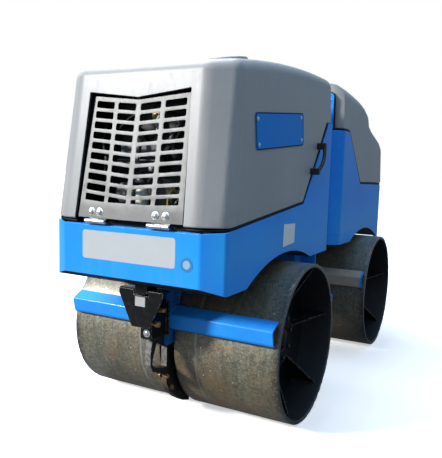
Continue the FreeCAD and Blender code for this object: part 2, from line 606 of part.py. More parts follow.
def bracket(axle, sy, reach):
    """Black plate hung under the body's end, with its top flanges, webs, lower tab and buffer."""
    y0 = axle + sy * reach
    d = -sy
    root = reach - 324.0            # from the plate back to the carrier's column
    lip = min(44.0, root * 0.35)
    at = lambda a, b: sorted((y0 + d * a, y0 + d * b))
    pl = prism_y([(-87, 514), (-27, 514), (-27, 494), (32, 494), (32, 514), (87, 514), (87, 495), (35, 387), (-35, 387),
                  (-87, 495)], *at(0, 6))
    pl = fuse([pl] + [box(min(a, b), max(a, b), *at(0, lip), 508, 514) for a, b in ((-87, -27), (32, 87))])
    pl = fillet(pl, 4.5, lambda a, b, m: abs(m.y - y0) < 0.01 and abs(m.z - 514) < 0.01)
    webs = [prism_x([(y0 + d * 4, 493), (y0 + d * 4, 389), (y0 + d * 36, 389), (y0 + d * 36, 348), (y0 + d * 46, 338), (y0 + d * root, 338),
                     (y0 + d * root, 455), (y0 + d * 50, 493)], x, x + 6) for x in (-23.0, 17.0)]
    tab = box(-23, 23, *at(34, 40), 338, 400)
    tab = fillet(tab, 10, lambda a, b, m: abs(a.y - b.y) > 5 and m.z < 345)
    buffer_ = box(-22, 27, *at(-1, 57), 498.5, 534)
    buffer_ = fillet(buffer_, 7, lambda a, b, m: abs(a.y - b.y) > 50)
    neck = box(-17, 17, *at(20, 50), 480, 500)
    back = box(-33, 33, *at(root - 8, root), 338, 455)
    return fuse([pl, tab, back, neck] + webs + [buffer_])


for name, axle, in (("front", -AXLE), ("rear", AXLE)):
    put(name + "_drum_carrier", carrier(axle))
    put(name + "_drum_guards", guard(name, -1, axle) + guard(name, 1, axle))
    put(name + "_rubber_mounts", mounts(name, axle))
    put(name + "_axle", axle_shaft(axle))
    shell, discs = drum_shell(axle), drum_disc(axle)
    put(name + "_drum_shell_right", shell)
    put(name + "_drum_shell_left", mirror_x(shell))
    put(name + "_drum_discs", discs + [mirror_x(d) for d in discs])
put("front_scraper", scraper(-AXLE, -1))
put("rear_scraper", scraper(AXLE, 1))
put("front_bracket", bracket(-AXLE, -1, 450.0))
put("rear_bracket", bracket(AXLE, 1, 384.0))

# -------------------------------------------------------- articulation joint
housing = fuse([tube((0, -255, PIVOT_Z), (0, 1, 0), 62, SHAFT_R + RUN, 160),
                tube((0, -FRONT_BACK - PLATE - 8, PIVOT_Z), (0, 1, 0), 95, 61, 8)])
put("oscillation_housing", housing)
LUG = 40.0
shaft = cyl((0, -250, PIVOT_Z), (0, 1, 0), SHAFT_R, 200)
cross = rounded_box(-72, 72, -62, -46, 596, 804, 14, "y")
lugs = []
for z in (622, 753):
    lugs.append(fuse([box(-LUG, LUG, -48, 0, z, z + 25), cyl((0, 0, z), (0, 0, 1), LUG, 25)]))
arm = box(-40, 15, -62, -46, 464, 600)
ears = [fuse([box(-24, 15, BASE_Y, -46, z, z + 10), cyl((BASE_X, BASE_Y, z), (0, 0, 1), 22, 10)]) for z in (464, 526)]
link = fuse([shaft, cross, arm] + lugs + ears)
link = link.cut(cyl((0, 0, 600), (0, 0, 1), PIVOT_R, 220)).cut(cyl((BASE_X, BASE_Y, 460), (0, 0, 1), 9, 90))
put("steering_link", link)
put("articulation_pin", [cyl((0, 0, 612), (0, 0, 1), PIVOT_R, 176)])
knuckle = fuse([cyl((0, 0, 655), (0, 0, 1), LUG, 90), box(-34, 34, 0, REAR_FACE, 655, 745),
                box(-90, 90, REAR_FACE - 12, REAR_FACE, 600, 800)])
knuckle = knuckle.cut(cyl((0, 0, 640), (0, 0, 1), PIVOT_R + RUN, 120))
put("articulation_knuckle", knuckle)
# arm of the rear body whose ears hold the cylinder's rod eye
EAR_R = 16.0
rarm = [fuse([box(ARM_X - EAR_R, ARM_X + EAR_R, 0, 150, z, z + 10), cyl((ARM_X, 0, z), (0, 0, 1), EAR_R, 10)]) for z in (478, 512)]
rarm += [box(ARM_X - 22, ARM_X + 22, 110, 150, 478, 566), box(ARM_X - 45, ARM_X + 45, 95, 175, 560, 569),
         cyl((ARM_X, 0, 473), (0, 0, 1), 9, 6), cyl((ARM_X, 0, 521), (0, 0, 1), 9, 6)]
put("steering_arm", fuse(rarm))
put("cylinder_base_pin", cyl((BASE_X, BASE_Y, 460), (0, 0, 1), 9, 80))


def along(s):
    """A piece drawn from the base pin along +Y, turned to the cylinder's line."""
    s = s.copy()
    s.rotate(V(0, 0, 0), V(0, 0, 1), -CYL_ANG)
    s.translate(V(BASE_X, BASE_Y, CYL_Z))
    return s


barrel = fuse([cyl((0, 20, 0), (0, 1, 0), 20, 120), cyl((0, 0, -25), (0, 0, 1), 17, 50), box(-12, 12, 8, 26, -12, 12)])
barrel = barrel.cut(cyl((0, 0, -30), (0, 0, 1), 9 + RUN, 60)).cut(cyl((0, 28, 0), (0, 1, 0), 11 + RUN, 200))
put("steering_barrel", along(barrel))
put("steering_rod", along(fuse([cyl((0, 82, 0), (0, 1, 0), 11, CYL_L - 90), cyl((0, CYL_L, -9), (0, 0, 1), EAR_R, 18)])))

# ------------------------------------------------------------------- output
lo, hi = [1e9] * 3, [-1e9] * 3
for name, shape in PARTS.items():
    shape = shape.copy()
    shape.translate(V(0, SHIFT_Y, 0))
    shape.exportStep("parts/%s.step" % name)
    for p in shape.tessellate(0.5)[0]:
        lo = [min(u, v) for u, v in zip(lo, p)]
        hi = [max(u, v) for u, v in zip(hi, p)]
print(len(PARTS), "nodes", [round(v, 1) for v in lo], [round(v, 1) for v in hi])
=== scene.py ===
import bpy, bmesh, math, json
from mathutils import Vector, Matrix, noise

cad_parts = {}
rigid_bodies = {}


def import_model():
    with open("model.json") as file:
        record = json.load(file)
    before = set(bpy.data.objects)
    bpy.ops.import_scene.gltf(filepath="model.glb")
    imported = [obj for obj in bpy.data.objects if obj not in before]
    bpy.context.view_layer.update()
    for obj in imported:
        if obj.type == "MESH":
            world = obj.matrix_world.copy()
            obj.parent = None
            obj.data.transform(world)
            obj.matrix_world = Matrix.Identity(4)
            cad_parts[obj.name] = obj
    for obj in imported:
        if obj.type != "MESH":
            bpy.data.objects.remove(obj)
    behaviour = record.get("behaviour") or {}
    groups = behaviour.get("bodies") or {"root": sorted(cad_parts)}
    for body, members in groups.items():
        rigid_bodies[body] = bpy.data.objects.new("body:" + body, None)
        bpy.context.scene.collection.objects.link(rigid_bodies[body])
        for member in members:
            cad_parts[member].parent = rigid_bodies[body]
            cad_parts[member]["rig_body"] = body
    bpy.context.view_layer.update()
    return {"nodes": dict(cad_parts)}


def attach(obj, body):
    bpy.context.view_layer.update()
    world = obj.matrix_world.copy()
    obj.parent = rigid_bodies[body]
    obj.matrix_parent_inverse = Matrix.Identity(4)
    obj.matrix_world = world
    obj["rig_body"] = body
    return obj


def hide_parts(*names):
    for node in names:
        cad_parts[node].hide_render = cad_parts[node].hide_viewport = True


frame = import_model()
N = frame["nodes"]
SH = 0.056                 # the machine is drawn about its pivot, which lies here along Y
AXLE, DRUM_R = 0.550, 0.290


def P(x, y, z):
    """A point given in millimetres from the articulation pivot, on the ground."""
    return Vector((x / 1000, y / 1000 + SH, z / 1000))


# ------------------------------------------------------------- camera
def camera():
    yaw, pitch, roll = map(math.radians, (28.04, 6.08, 1.69))
    d = Vector((-math.sin(yaw) * math.cos(pitch), math.cos(yaw) * math.cos(pitch), -math.sin(pitch)))
    r = Vector((math.cos(yaw), math.sin(yaw), 0))
    u = r.cross(d)
    r2 = math.cos(roll) * r + math.sin(roll) * u
    u2 = -math.sin(roll) * r + math.cos(roll) * u
    cam = bpy.data.cameras.new("camera")
    cam.lens = 558.3 / 458 * 36
    cam.sensor_width = 36
    ob = bpy.data.objects.new("camera", cam)
    m = Matrix((r2, u2, -d)).transposed().to_4x4()
    m.translation = Vector((1.0644, -2.4541 + SH, 0.9100))
    ob.matrix_world = m
    bpy.context.scene.collection.objects.link(ob)
    bpy.context.scene.camera = ob


camera()
bpy.context.scene.view_settings.view_transform = "Standard"


# ------------------------------------------------------------- node helper
class Mat:
    """Small helper that writes a procedural material's nodes."""

    def __init__(s, name):
        s.m = bpy.data.materials.new(name)
        s.m.use_nodes = True
        s.t = s.m.node_tree
        s.b = s.t.nodes["Principled BSDF"]
        tc = s.t.nodes.new("ShaderNodeTexCoord")
        s.obj, s.nor = tc.outputs["Object"], tc.outputs["Normal"]
        sp = s.new("ShaderNodeSeparateXYZ"); s.put(sp.inputs[0], s.obj)
        s.x, s.y, s.z = sp.outputs
        sn = s.new("ShaderNodeSeparateXYZ"); s.put(sn.inputs[0], s.nor)
        s.nx, s.ny, s.nz = sn.outputs

    def new(s, kind, **kw):
        n = s.t.nodes.new(kind)
        for k, v in kw.items():
            setattr(n, k, v)
        return n

    def put(s, sock, val):
        if isinstance(val, bpy.types.NodeSocket):
            s.t.links.new(val, sock)
        elif isinstance(val, tuple) and len(val) == 3 and sock.type == "RGBA":
            sock.default_value = val + (1,)
        else:
            sock.default_value = val

    def math(s, op, a, b=0.0, c=0.0, clamp=False):
        n = s.new("ShaderNodeMath", operation=op, use_clamp=clamp)
        for i, v in enumerate((a, b, c)):
            s.put(n.inputs[i], v)
        return n.outputs[0]

    def vec(s, sx, sy, sz, src=None):
        n = s.new("ShaderNodeVectorMath", operation="MULTIPLY")
        s.put(n.inputs[0], src or s.obj); n.inputs[1].default_value = (sx, sy, sz)
        return n.outputs[0]

    def comb(s, x, y, z):
        n = s.new("ShaderNodeCombineXYZ")
        for i, v in enumerate((x, y, z)):
            s.put(n.inputs[i], v)
        return n.outputs[0]

    def noise(s, scale, detail=4.0, rough=.55, vec=None, dist=0.0):
        n = s.new("ShaderNodeTexNoise")
        s.put(n.inputs["Vector"], vec or s.obj)
        for k, v in (("Scale", scale), ("Detail", detail), ("Roughness", rough), ("Distortion", dist)):
            n.inputs[k].default_value = v
        return n.outputs[0]

    def cells(s, scale, vec=None, feature="F1", out="Distance"):
        n = s.new("ShaderNodeTexVoronoi", feature=feature)
        s.put(n.inputs["Vector"], vec or s.obj); n.inputs["Scale"].default_value = scale
        return n.outputs[out]

    def step(s, x, lo, hi, a=0.0, b=1.0):
        n = s.new("ShaderNodeMapRange", interpolation_type="SMOOTHSTEP")
        for i, v in enumerate((x, lo, hi, a, b)):
            s.put(n.inputs[i], v)
        return n.outputs[0]

    def line(s, x, lo, hi, a=0.0, b=1.0):
        n = s.new("ShaderNodeMapRange")
        for i, v in enumerate((x, lo, hi, a, b)):
            s.put(n.inputs[i], v)
        return n.outputs[0]

    def mix(s, f, a, b, blend="MIX"):
        n = s.new("ShaderNodeMix", data_type="RGBA", blend_type=blend)
        s.put(n.inputs[0], f); s.put(n.inputs[6], a); s.put(n.inputs[7], b)
        return n.outputs[2]

    def mul(s, *a):
        r = a[0]
        for b in a[1:]:
            r = s.math("MULTIPLY", r, b)
        return r

    def add(s, a, b):
        return s.math("ADD", a, b)

    def inv(s, a):
        return s.math("SUBTRACT", 1.0, a, clamp=True)

    def most(s, a, b):
        return s.math("MAXIMUM", a, b)

    def inside(s, c):
        """1 where the surface looks back to c, which is the inner side of a shell around it."""
        v = s.new("ShaderNodeVectorMath", operation="SUBTRACT")
        s.put(v.inputs[0], s.obj); v.inputs[1].default_value = c
        d = s.new("ShaderNodeVectorMath", operation="DOT_PRODUCT")
        s.put(d.inputs[0], v.outputs[0]); s.put(d.inputs[1], s.nor)
        return s.step(d.outputs["Value"], 0.004, -0.004)

    def wear(s):
        a = s.new("ShaderNodeAttribute", attribute_name="wear")
        return a.outputs["Fac"]

    def bump(s, height, strength, dist=0.001, normal=None):
        n = s.new("ShaderNodeBump")
        n.inputs["Strength"].default_value = strength
        n.inputs["Distance"].default_value = dist
        s.put(n.inputs["Height"], height)
        if normal is not None:
            s.put(n.inputs["Normal"], normal)
        return n.outputs[0]

    def out(s, color, rough, normal=None, **sockets):
        s.put(s.b.inputs["Base Color"], color)
        s.put(s.b.inputs["Roughness"], rough)
        if normal is not None:
            s.put(s.b.inputs["Normal"], normal)
        for k, v in sockets.items():
            s.put(s.b.inputs[k.replace("_", " ")], v)
        return s.m


# ------------------------------------------------------------- materials
def blue_paint(name, center, tan=False, dirt=.30, tone=1.0, coat=.035):
    m = Mat(name)
    big, mid = m.noise(3.1, 3), m.noise(22, 5, .6)
    base = m.mix(m.step(big, .3, .7), (0.020, 0.272, 0.850), (0.023, 0.316, 0.910))
    base = m.mix(m.mul(m.step(m.z, .66, 1.05), .24), base, (0.010, 0.175, 0.66))
    base = m.mix(m.mul(m.step(mid, .45, .8), .25), base, (0.030, 0.36, 0.92))
    # painted reflection: a paler blue band painted across the side panels as a soft sheen
    soft = m.noise(1.0, 3, .5, m.vec(1.6, 1.6, 4.2))
    painted_sheen = m.step(m.add(m.mul(soft, .34), m.z), 1.02, .80)
    painted_sheen = m.mul(painted_sheen, m.step(m.z, .50, .66), m.step(m.math("ABSOLUTE", m.nz), .5, .2))
    base = m.mix(m.mul(painted_sheen, m.step(m.math("ABSOLUTE", m.x), .26, .32), .55), base, (0.045, 0.40, 0.86))
    # a tone below 1 darkens the whole paint; the drum carrier post uses it as painted shade from the bracket
    if tone != 1.0:
        base = m.mix(1.0, base, (tone, tone, tone), "MULTIPLY")
    # road dust that settles low down and in streaks, and small spots of mud
    drip = m.noise(1.0, 5, .62, m.vec(38, 38, 2.4))
    low = m.step(m.z, 0.72, 0.50)
    dust = m.mul(m.step(drip, .44, .70), m.add(m.mul(low, .30 * dirt), .012))
    spots = m.mul(m.step(m.cells(190), .16, .06), m.step(m.noise(14, 3), .55, .68), m.add(m.mul(low, .9 * dirt), .05))
    flat = m.mul(m.step(m.nz, .75, .98), m.step(m.noise(26, 5, .7), .42, .66), .5 * dirt)
    col = m.mix(m.most(dust, flat), base, (0.30, 0.27, 0.22))
    col = m.mix(spots, col, (0.17, 0.14, 0.105))
    # chipped edges and a few thin scratches
    edge = m.mul(m.wear(), m.step(m.noise(95, 5, .7), .58, .66), .8)
    scr = m.mul(m.step(m.noise(1, 2, .5, m.vec(8, 260, 300)), .735, .76), m.step(m.noise(5, 3), .55, .62), .4)
    col = m.mix(m.most(edge, scr), col, (0.33, 0.42, 0.52))
    if tan:
        cake = m.step(m.add(m.noise(34, 6, .68), m.mul(m.noise(7, 3), .5)), .56, .74)
        cake = m.mul(cake, m.step(m.math("ABSOLUTE", m.x), .414, .402))
        tan_ = m.mix(m.noise(48, 6, .7), (0.36, 0.285, 0.21), (0.62, 0.50, 0.38))
        col = m.mix(m.math("MULTIPLY_ADD", cake, .05, m.mul(m.step(m.math("ABSOLUTE", m.x), .410, .398), .94)), col, tan_)
    # painted shade: inner faces of the body shell above the floor are painted near-black, with a little mud mottle
    if center is not None:
        ins = m.mul(m.inside(center), m.step(m.z, .566, .576))
        dark = m.mix(m.step(m.noise(40, 6, .7), .4, .7), (0.006, 0.010, 0.018), (0.03, 0.028, 0.024))
        col = m.mix(ins, col, dark)
    # underside: painted shade, nearly black, mottled with a little thrown mud
    painted_shade_under = m.mul(m.step(m.nz, -.55, -.9), m.step(m.z, .75, .66))
    col = m.mix(m.mul(painted_shade_under, .985), col, m.mix(m.noise(60, 6, .7), (0.008, 0.008, 0.009), (0.028, 0.024, 0.020)))
    rough = m.math("MULTIPLY_ADD", m.most(dust, m.most(spots, flat)), .55, .27, clamp=True)
    rough = m.math("MULTIPLY_ADD", m.mul(mid, mid), .10, rough, clamp=True)
    rough = m.most(rough, m.mul(painted_shade_under, 1.0))
    peel = m.noise(520, 2, .5)
    nrm = m.bump(peel, .035, .0006, m.bump(m.add(m.mul(m.noise(7, 2), .6), m.mul(spots, .3)), .10, .0016))
    m.b.inputs["Coat Weight"].default_value = coat
    m.b.inputs["Specular IOR Level"].default_value = .17
    m.b.inputs["Coat Roughness"].default_value = .10
    return m.out(col, rough, nrm)


def hood_plastic(name, center):
    m = Mat(name)
    base = m.mix(m.step(m.noise(2.3, 4, .6), .3, .7), (0.326, 0.320, 0.318), (0.376, 0.366, 0.357))
    mott = m.noise(55, 6, .7)
    base = m.mix(m.mul(m.step(mott, .42, .68), .22), base, (0.39, 0.39, 0.385))
    grit = m.mul(m.step(m.cells(620), .30, .12), m.step(m.noise(30, 4), .50, .66), .30)
    base = m.mix(grit, base, (0.22, 0.215, 0.20))
    streak = m.mul(m.step(m.noise(1, 5, .6, m.vec(46, 46, 1.7)), .50, .74), .20)
    base = m.mix(streak, base, (0.27, 0.265, 0.25))
    foot = m.mul(m.step(m.z, .83, .745), m.step(m.noise(24, 5, .65), .38, .66), .40)
    base = m.mix(foot, base, (0.24, 0.225, 0.19))
    scuff = m.mul(m.step(m.noise(1, 3, .5, m.vec(30, 110, 420)), .70, .74), m.step(m.noise(4.5, 3), .52, .6), .35)
    base = m.mix(scuff, base, (0.60, 0.60, 0.60))
    edge = m.mul(m.wear(), m.step(m.noise(70, 4, .7), .5, .64), .5)
    base = m.mix(edge, base, (0.56, 0.56, 0.55))
    # painted shade and painted light: front-facing faces are painted darker and top faces lighter to set their
    # brightness under the lamps
    base = m.mix(m.mul(m.step(m.ny, -.80, -.96), .45), base, (0.262, 0.262, 0.262))
    base = m.mix(m.mul(m.step(m.nz, .80, .97), .40), base, (0.415, 0.415, 0.415))
    # painted shade: inner faces of the hood shell are painted near-black
    ins = m.inside(center)
    base = m.mix(ins, base, m.mix(mott, (0.012, 0.012, 0.013), (0.04, 0.04, 0.04)))
    rough = m.math("MULTIPLY_ADD", m.add(mott, streak), .16, .33, clamp=True)
    nrm = m.bump(m.noise(850, 2, .6), .10, .0007, m.bump(m.noise(9, 3), .16, .003))
    return m.out(base, rough, nrm)


def sheet_steel(name):
    """Galvanised, lightly brushed sheet of the grille."""
    m = Mat(name)
    brush = m.noise(1, 4, .6, m.vec(700, 60, 9))
    spang = m.cells(75, m.vec(1, 1, .6), out="Color")
    sp = m.new("ShaderNodeSeparateColor"); m.put(sp.inputs[0], spang)
    col = m.mix(m.math("MULTIPLY_ADD", sp.outputs[0], .35, m.mul(brush, .5)), (0.172, 0.172, 0.165), (0.262, 0.262, 0.252))
    dirt = m.mul(m.step(m.noise(17, 5, .68), .46, .72), m.step(m.z, 1.05, .76, .10, .62))
    low = m.step(m.z, .800, .775)
    col = m.mix(m.mul(low, .62), col, (0.10, 0.10, 0.098))
    col = m.mix(dirt, col, (0.13, 0.12, 0.10))
    edge = m.mul(m.wear(), .5)
    col = m.mix(edge, col, (0.42, 0.415, 0.40))
    rough = m.math("MULTIPLY_ADD", brush, .20, m.math("MULTIPLY_ADD", dirt, .2, .42), clamp=True)
    return m.out(col, rough, m.bump(brush, .10, .0004), Metallic=m.math("MULTIPLY_ADD", dirt, -.25, .30, clamp=True))


def zinc(name, rust=.0, dark=1.0):
    m = Mat(name)
    c = m.noise(160, 5, .65)
    col = m.mix(c, tuple(v * dark for v in (0.52, 0.52, 0.50)), tuple(v * dark for v in (0.80, 0.80, 0.78)))
    r = m.mul(m.step(m.noise(70, 5, .7), .60 - rust * .35, .72 - rust * .3), .9 if rust else .25)
    col = m.mix(r, col, (0.23, 0.10, 0.04))
    return m.out(col, m.math("MULTIPLY_ADD", m.most(c, r), .4, .14, clamp=True), m.bump(c, .12, .0004), Metallic=m.inv(m.mul(r, .9)))


def black_paint(name, rust=.35, tone=1.0, inner=None):
    m = Mat(name)
    a = m.noise(26, 6, .68)
    col = m.mix(a, tuple(v * tone for v in (0.0035, 0.0037, 0.0042)), tuple(v * tone for v in (0.009, 0.009, 0.0095)))
    m.b.inputs["Specular IOR Level"].default_value = .20
    dust = m.mul(m.step(m.noise(44, 6, .7), .47, .72), m.add(m.mul(m.step(m.nz, .2, .95), .55), .07))
    col = m.mix(dust, col, (0.16, 0.14, 0.115))
    edge = m.mul(m.wear(), m.step(m.noise(120, 5, .7), .47, .60))
    col = m.mix(m.mul(edge, .75), col, (0.32, 0.31, 0.30))
    rs = m.mul(m.step(m.noise(52, 5, .72), .66 - rust * .12, .76), rust * 1.6)
    col = m.mix(rs, col, (0.20, 0.075, 0.026))
    rough = m.math("MULTIPLY_ADD", m.most(dust, rs), .45, .30, clamp=True)
    nrm = m.bump(m.noise(300, 3, .6), .10, .0006, m.bump(m.add(rs, a), .12, .0012))
    return m.out(col, rough, nrm)


def rubber(name, tone=1.0, dust=.35):
    m = Mat(name)
    a = m.noise(60, 5, .65)
    col = m.mix(a, tuple(v * tone for v in (0.010, 0.010, 0.011)), tuple(v * tone for v in (0.028, 0.028, 0.029)))
    dust = m.mul(m.step(m.noise(90, 6, .7), .5, .74), dust)
    col = m.mix(dust, col, (0.14, 0.125, 0.10))
    m.b.inputs["Specular IOR Level"].default_value = .22
    return m.out(col, m.math("MULTIPLY_ADD", dust, .3, .55, clamp=True), m.bump(m.noise(700, 2, .5), .15, .0004))


def moulded_black(name):
    m = Mat(name)
    a = m.noise(40, 5, .6)
    col = m.mix(a, (0.009, 0.009, 0.010), (0.022, 0.022, 0.023))
    grey = m.mul(m.step(m.noise(140, 5, .7), .52, .74), m.step(m.nz, -.2, 1, .10, .45))
    col = m.mix(grey, col, (0.12, 0.115, 0.105))
    return m.out(col, m.math("MULTIPLY_ADD", grey, .3, .38, clamp=True), m.bump(m.noise(1100, 2, .5), .10, .0003))


def drum_steel(name, axle):
    """Rolled drum plate: scoured bands round the drum, dried soil, pale stone marks, rust, chipped rim, black inside."""
    m = Mat(name)
    dy = m.math("SUBTRACT", m.y, axle + SH)
    dz = m.math("SUBTRACT", m.z, DRUM_R)
    rad = m.math("SQRT", m.add(m.mul(dy, dy), m.mul(dz, dz)))
    ax = m.math("ABSOLUTE", m.x)
    # (across, around) in metres; the seam of the angle is hidden by using a cylinder-shaped coordinate for fine grain
    along = m.comb(m.mul(m.x, 60.0), m.mul(dy, 6.0), m.mul(dz, 6.0))
    fine = m.comb(m.mul(m.x, 420.0), m.mul(dy, 22.0), m.mul(dz, 22.0))
    bands, hair = m.noise(1, 6, .62, along), m.noise(1, 4, .6, fine)
    blot, grain = m.noise(5.5, 6, .66), m.noise(120, 6, .75)
    col = m.mix(m.step(bands, .18, .86), (0.150, 0.137, 0.088), (0.318, 0.292, 0.192))
    col = m.mix(m.mul(m.step(blot, .42, .66), .55), col, (0.225, 0.180, 0.100))
    col = m.mix(m.mul(m.step(m.noise(11, 6, .7), .48, .68), .26), col, (0.062, 0.062, 0.052))
    col = m.mix(m.mul(m.step(hair, .42, .74), .15), col, (0.37, 0.355, 0.30))
    col = m.mix(m.mul(m.step(m.noise(64, 7, .85), .47, .58), .52), col, (0.040, 0.040, 0.036))
    # brown tide marks that run round the drum
    tide = m.step(m.noise(1, 4, .6, m.comb(m.mul(m.x, 17.0), m.mul(dy, 1.6), m.mul(dz, 1.6))), .46, .66)
    col = m.mix(m.mul(tide, .50), col, (0.290, 0.205, 0.110))
    # fine dark pits all over
    pit = m.new("ShaderNodeSeparateColor"); m.put(pit.inputs[0], m.cells(175, out="Color"))
    pits = m.mul(m.step(m.add(m.mul(pit.outputs[0], .6), m.mul(m.noise(34, 4, .7), .4)), .50, .58), m.step(m.noise(6, 3), .30, .60, .45, 1.0))
    col = m.mix(m.mul(pits, .46), col, (0.034, 0.033, 0.029))
    rust = m.mul(m.step(m.add(m.noise(8.5, 5, .7), m.mul(m.step(ax, .33, .42), .05)), .560, .69), m.step(m.noise(75, 5, .7), .40, .60), .55)
    col = m.mix(m.mul(m.step(m.noise(4.1, 4, .6), .46, .62), .42), col, (0.215, 0.135, 0.062))
    col = m.mix(rust, col, (0.27, 0.115, 0.036))
    # pale stone chips of two sizes
    pick = m.new("ShaderNodeSeparateColor"); m.put(pick.inputs[0], m.cells(33, out="Color"))
    c1 = m.mul(m.step(m.cells(33), .085, .055), m.step(pick.outputs[0], .36, .40))
    c2 = m.mul(m.step(m.cells(120), .20, .09), m.step(m.noise(9, 3), .44, .54), .85)
    col = m.mix(m.mul(m.most(c1, c2), .9), col, (0.66, 0.65, 0.62))
    # darker, chipped strip next to the outer rim
    band = m.mul(m.step(ax, .386, .419), m.step(m.noise(62, 6, .8), .42, .51))
    col = m.mix(m.mul(band, .8), col, (0.018, 0.018, 0.020))
    # faint butt-weld ring one third along each half
    ring = m.step(m.math("ABSOLUTE", m.math("SUBTRACT", ax, .117)), .0062, .0030)
    col = m.mix(m.mul(ring, m.step(hair, .25, .6), .65), col, (0.42, 0.41, 0.385))
    # rim and end face
    rimw = m.mul(m.step(ax, .4195, .4228), m.step(rad, .2745, .2765))
    chip = m.step(m.noise(150, 5, .75), .42, .58)
    rimc = m.mix(chip, (0.012, 0.012, 0.012), (0.11, 0.105, 0.09))
    col = m.mix(rimw, col, rimc)
    innr = m.step(rad, .2885, .2865)
    inn = m.mul(innr, m.inv(rimw))
    mud = m.mul(m.step(m.noise(13, 6, .7), .54, .74), .4)
    incol = m.mix(mud, m.mix(grain, (0.004, 0.004, 0.005), (0.013, 0.013, 0.014)), (0.060, 0.050, 0.038))
    col = m.mix(inn, col, incol)
    dull = m.most(m.step(blot, .4, .7), rust)
    rough = m.math("MULTIPLY_ADD", dull, .24, m.math("MULTIPLY_ADD", grain, .30, .30), clamp=True)
    rough = m.most(rough, m.mul(inn, .55))
    metal = m.mul(m.inv(m.most(inn, m.mul(m.most(dull, m.most(c1, c2)), .8))), .55)
    nrm = m.bump(m.add(m.mul(hair, .5), m.mul(ring, .8)), .22, .0009,
                 m.bump(m.add(m.add(grain, m.mul(m.add(c1, m.mul(pits, -.6)), .5)), m.mul(bands, .6)), .38, .0018))
    m.b.inputs["Coat Weight"].default_value = .8
    m.b.inputs["Coat IOR"].default_value = 1.7
    m.b.inputs["Coat Roughness"].default_value = .34
    return m.out(col, rough, nrm, Metallic=metal)


def label(name, tone, edge=None, box=None):
    """Blank printed film: a slightly weathered plain colour."""
    m = Mat(name)
    a = m.noise(34, 5, .65)
    col = m.mix(a, tuple(v * .93 for v in tone), tone)
    fade = m.mul(m.step(m.noise(9, 4, .6), .5, .75), .18)
    col = m.mix(fade, col, tuple(min(1, v * .8 + .06) for v in tone))
    spk = m.mul(m.step(m.cells(300), .18, .07), m.step(m.noise(25, 3), .55, .66), .5)
    col = m.mix(spk, col, (0.22, 0.20, 0.17))
    return m.out(col, m.math("MULTIPLY_ADD", a, .18, .28), m.bump(m.noise(260, 2, .5), .04, .0004))


def blue_film(name):
    """Blank blue printed plate, glossy, with a little dust and fine scratches."""
    m = Mat(name)
    a = m.noise(30, 5, .65)
    col = m.mix(a, (0.001, 0.200, 0.64), (0.002, 0.245, 0.74))
    scr = m.mul(m.step(m.noise(1, 3, .5, m.vec(40, 25, 380)), .68, .73), m.step(m.noise(12, 3), .5, .62), .35)
    dust = m.mul(m.step(m.noise(70, 5, .7), .52, .72), .02)
    col = m.mix(m.most(scr, dust), col, (0.30, 0.40, 0.50))
    m.b.inputs["Specular IOR Level"].default_value = .08
    return m.out(col, m.math("MULTIPLY_ADD", a, .2, .22), m.bump(m.noise(240, 2, .5), .04, .0004))


def worn_tiedown(name, axle):
    """Black painted plate whose front and rear edges are scoured to grey metal with tan soil on them."""
    m = Mat(name)
    a = m.noise(40, 6, .7)
    col = m.mix(a, (0.008, 0.008, 0.009), (0.024, 0.023, 0.022))
    u = m.math("ABSOLUTE", m.math("SUBTRACT", m.y, axle + SH))
    face = m.step(m.math("ABSOLUTE", m.ny), .30, .55)
    out = m.mul(face, m.step(u, .275, .31))
    metal = m.mix(m.step(m.noise(75, 6, .75), .42, .62), (0.20, 0.195, 0.185), (0.085, 0.072, 0.052))
    metal = m.mix(m.step(m.z, .235, .20), metal, m.mix(a, (0.20, 0.13, 0.06), (0.07, 0.055, 0.04)))
    col = m.mix(m.mul(out, .92), col, metal)
    rs = m.mul(m.step(m.noise(46, 5, .72), .56, .68), m.step(m.z, .24, .17), .85)
    col = m.mix(rs, col, (0.26, 0.13, 0.05))
    col = m.mix(m.mul(m.wear(), m.step(a, .45, .6), .5), col, (0.24, 0.23, 0.21))
    return m.out(col, m.math("MULTIPLY_ADD", m.most(out, rs), .25, .36, clamp=True), m.bump(m.noise(260, 4, .65), .2, .0008))


def cast_metal(name, c0, c1, metal=.4, oil=.5):
    m = Mat(name)
    a = m.noise(36, 6, .7)
    col = m.mix(a, c0, c1)
    soot = m.mul(m.step(m.noise(15, 5, .7), .46, .70), oil)
    col = m.mix(soot, col, (0.022, 0.020, 0.018))
    return m.out(col, m.math("MULTIPLY_ADD", soot, -.18, .52, clamp=True), m.bump(m.noise(240, 5, .7), .3, .0010), Metallic=metal)


def plain(name, c0, c1, rough=.45, metal=0.0, scale=60, bump=.1):
    m = Mat(name)
    a = m.noise(scale, 5, .65)
    d = m.mul(m.step(m.noise(scale * .6, 5, .7), .5, .74), .4)
    col = m.mix(d, m.mix(a, c0, c1), (0.10, 0.085, 0.065))
    return m.out(col, m.math("MULTIPLY_ADD", d, .3, rough, clamp=True), m.bump(m.noise(scale * 6, 3, .6), bump, .0006), Metallic=metal)


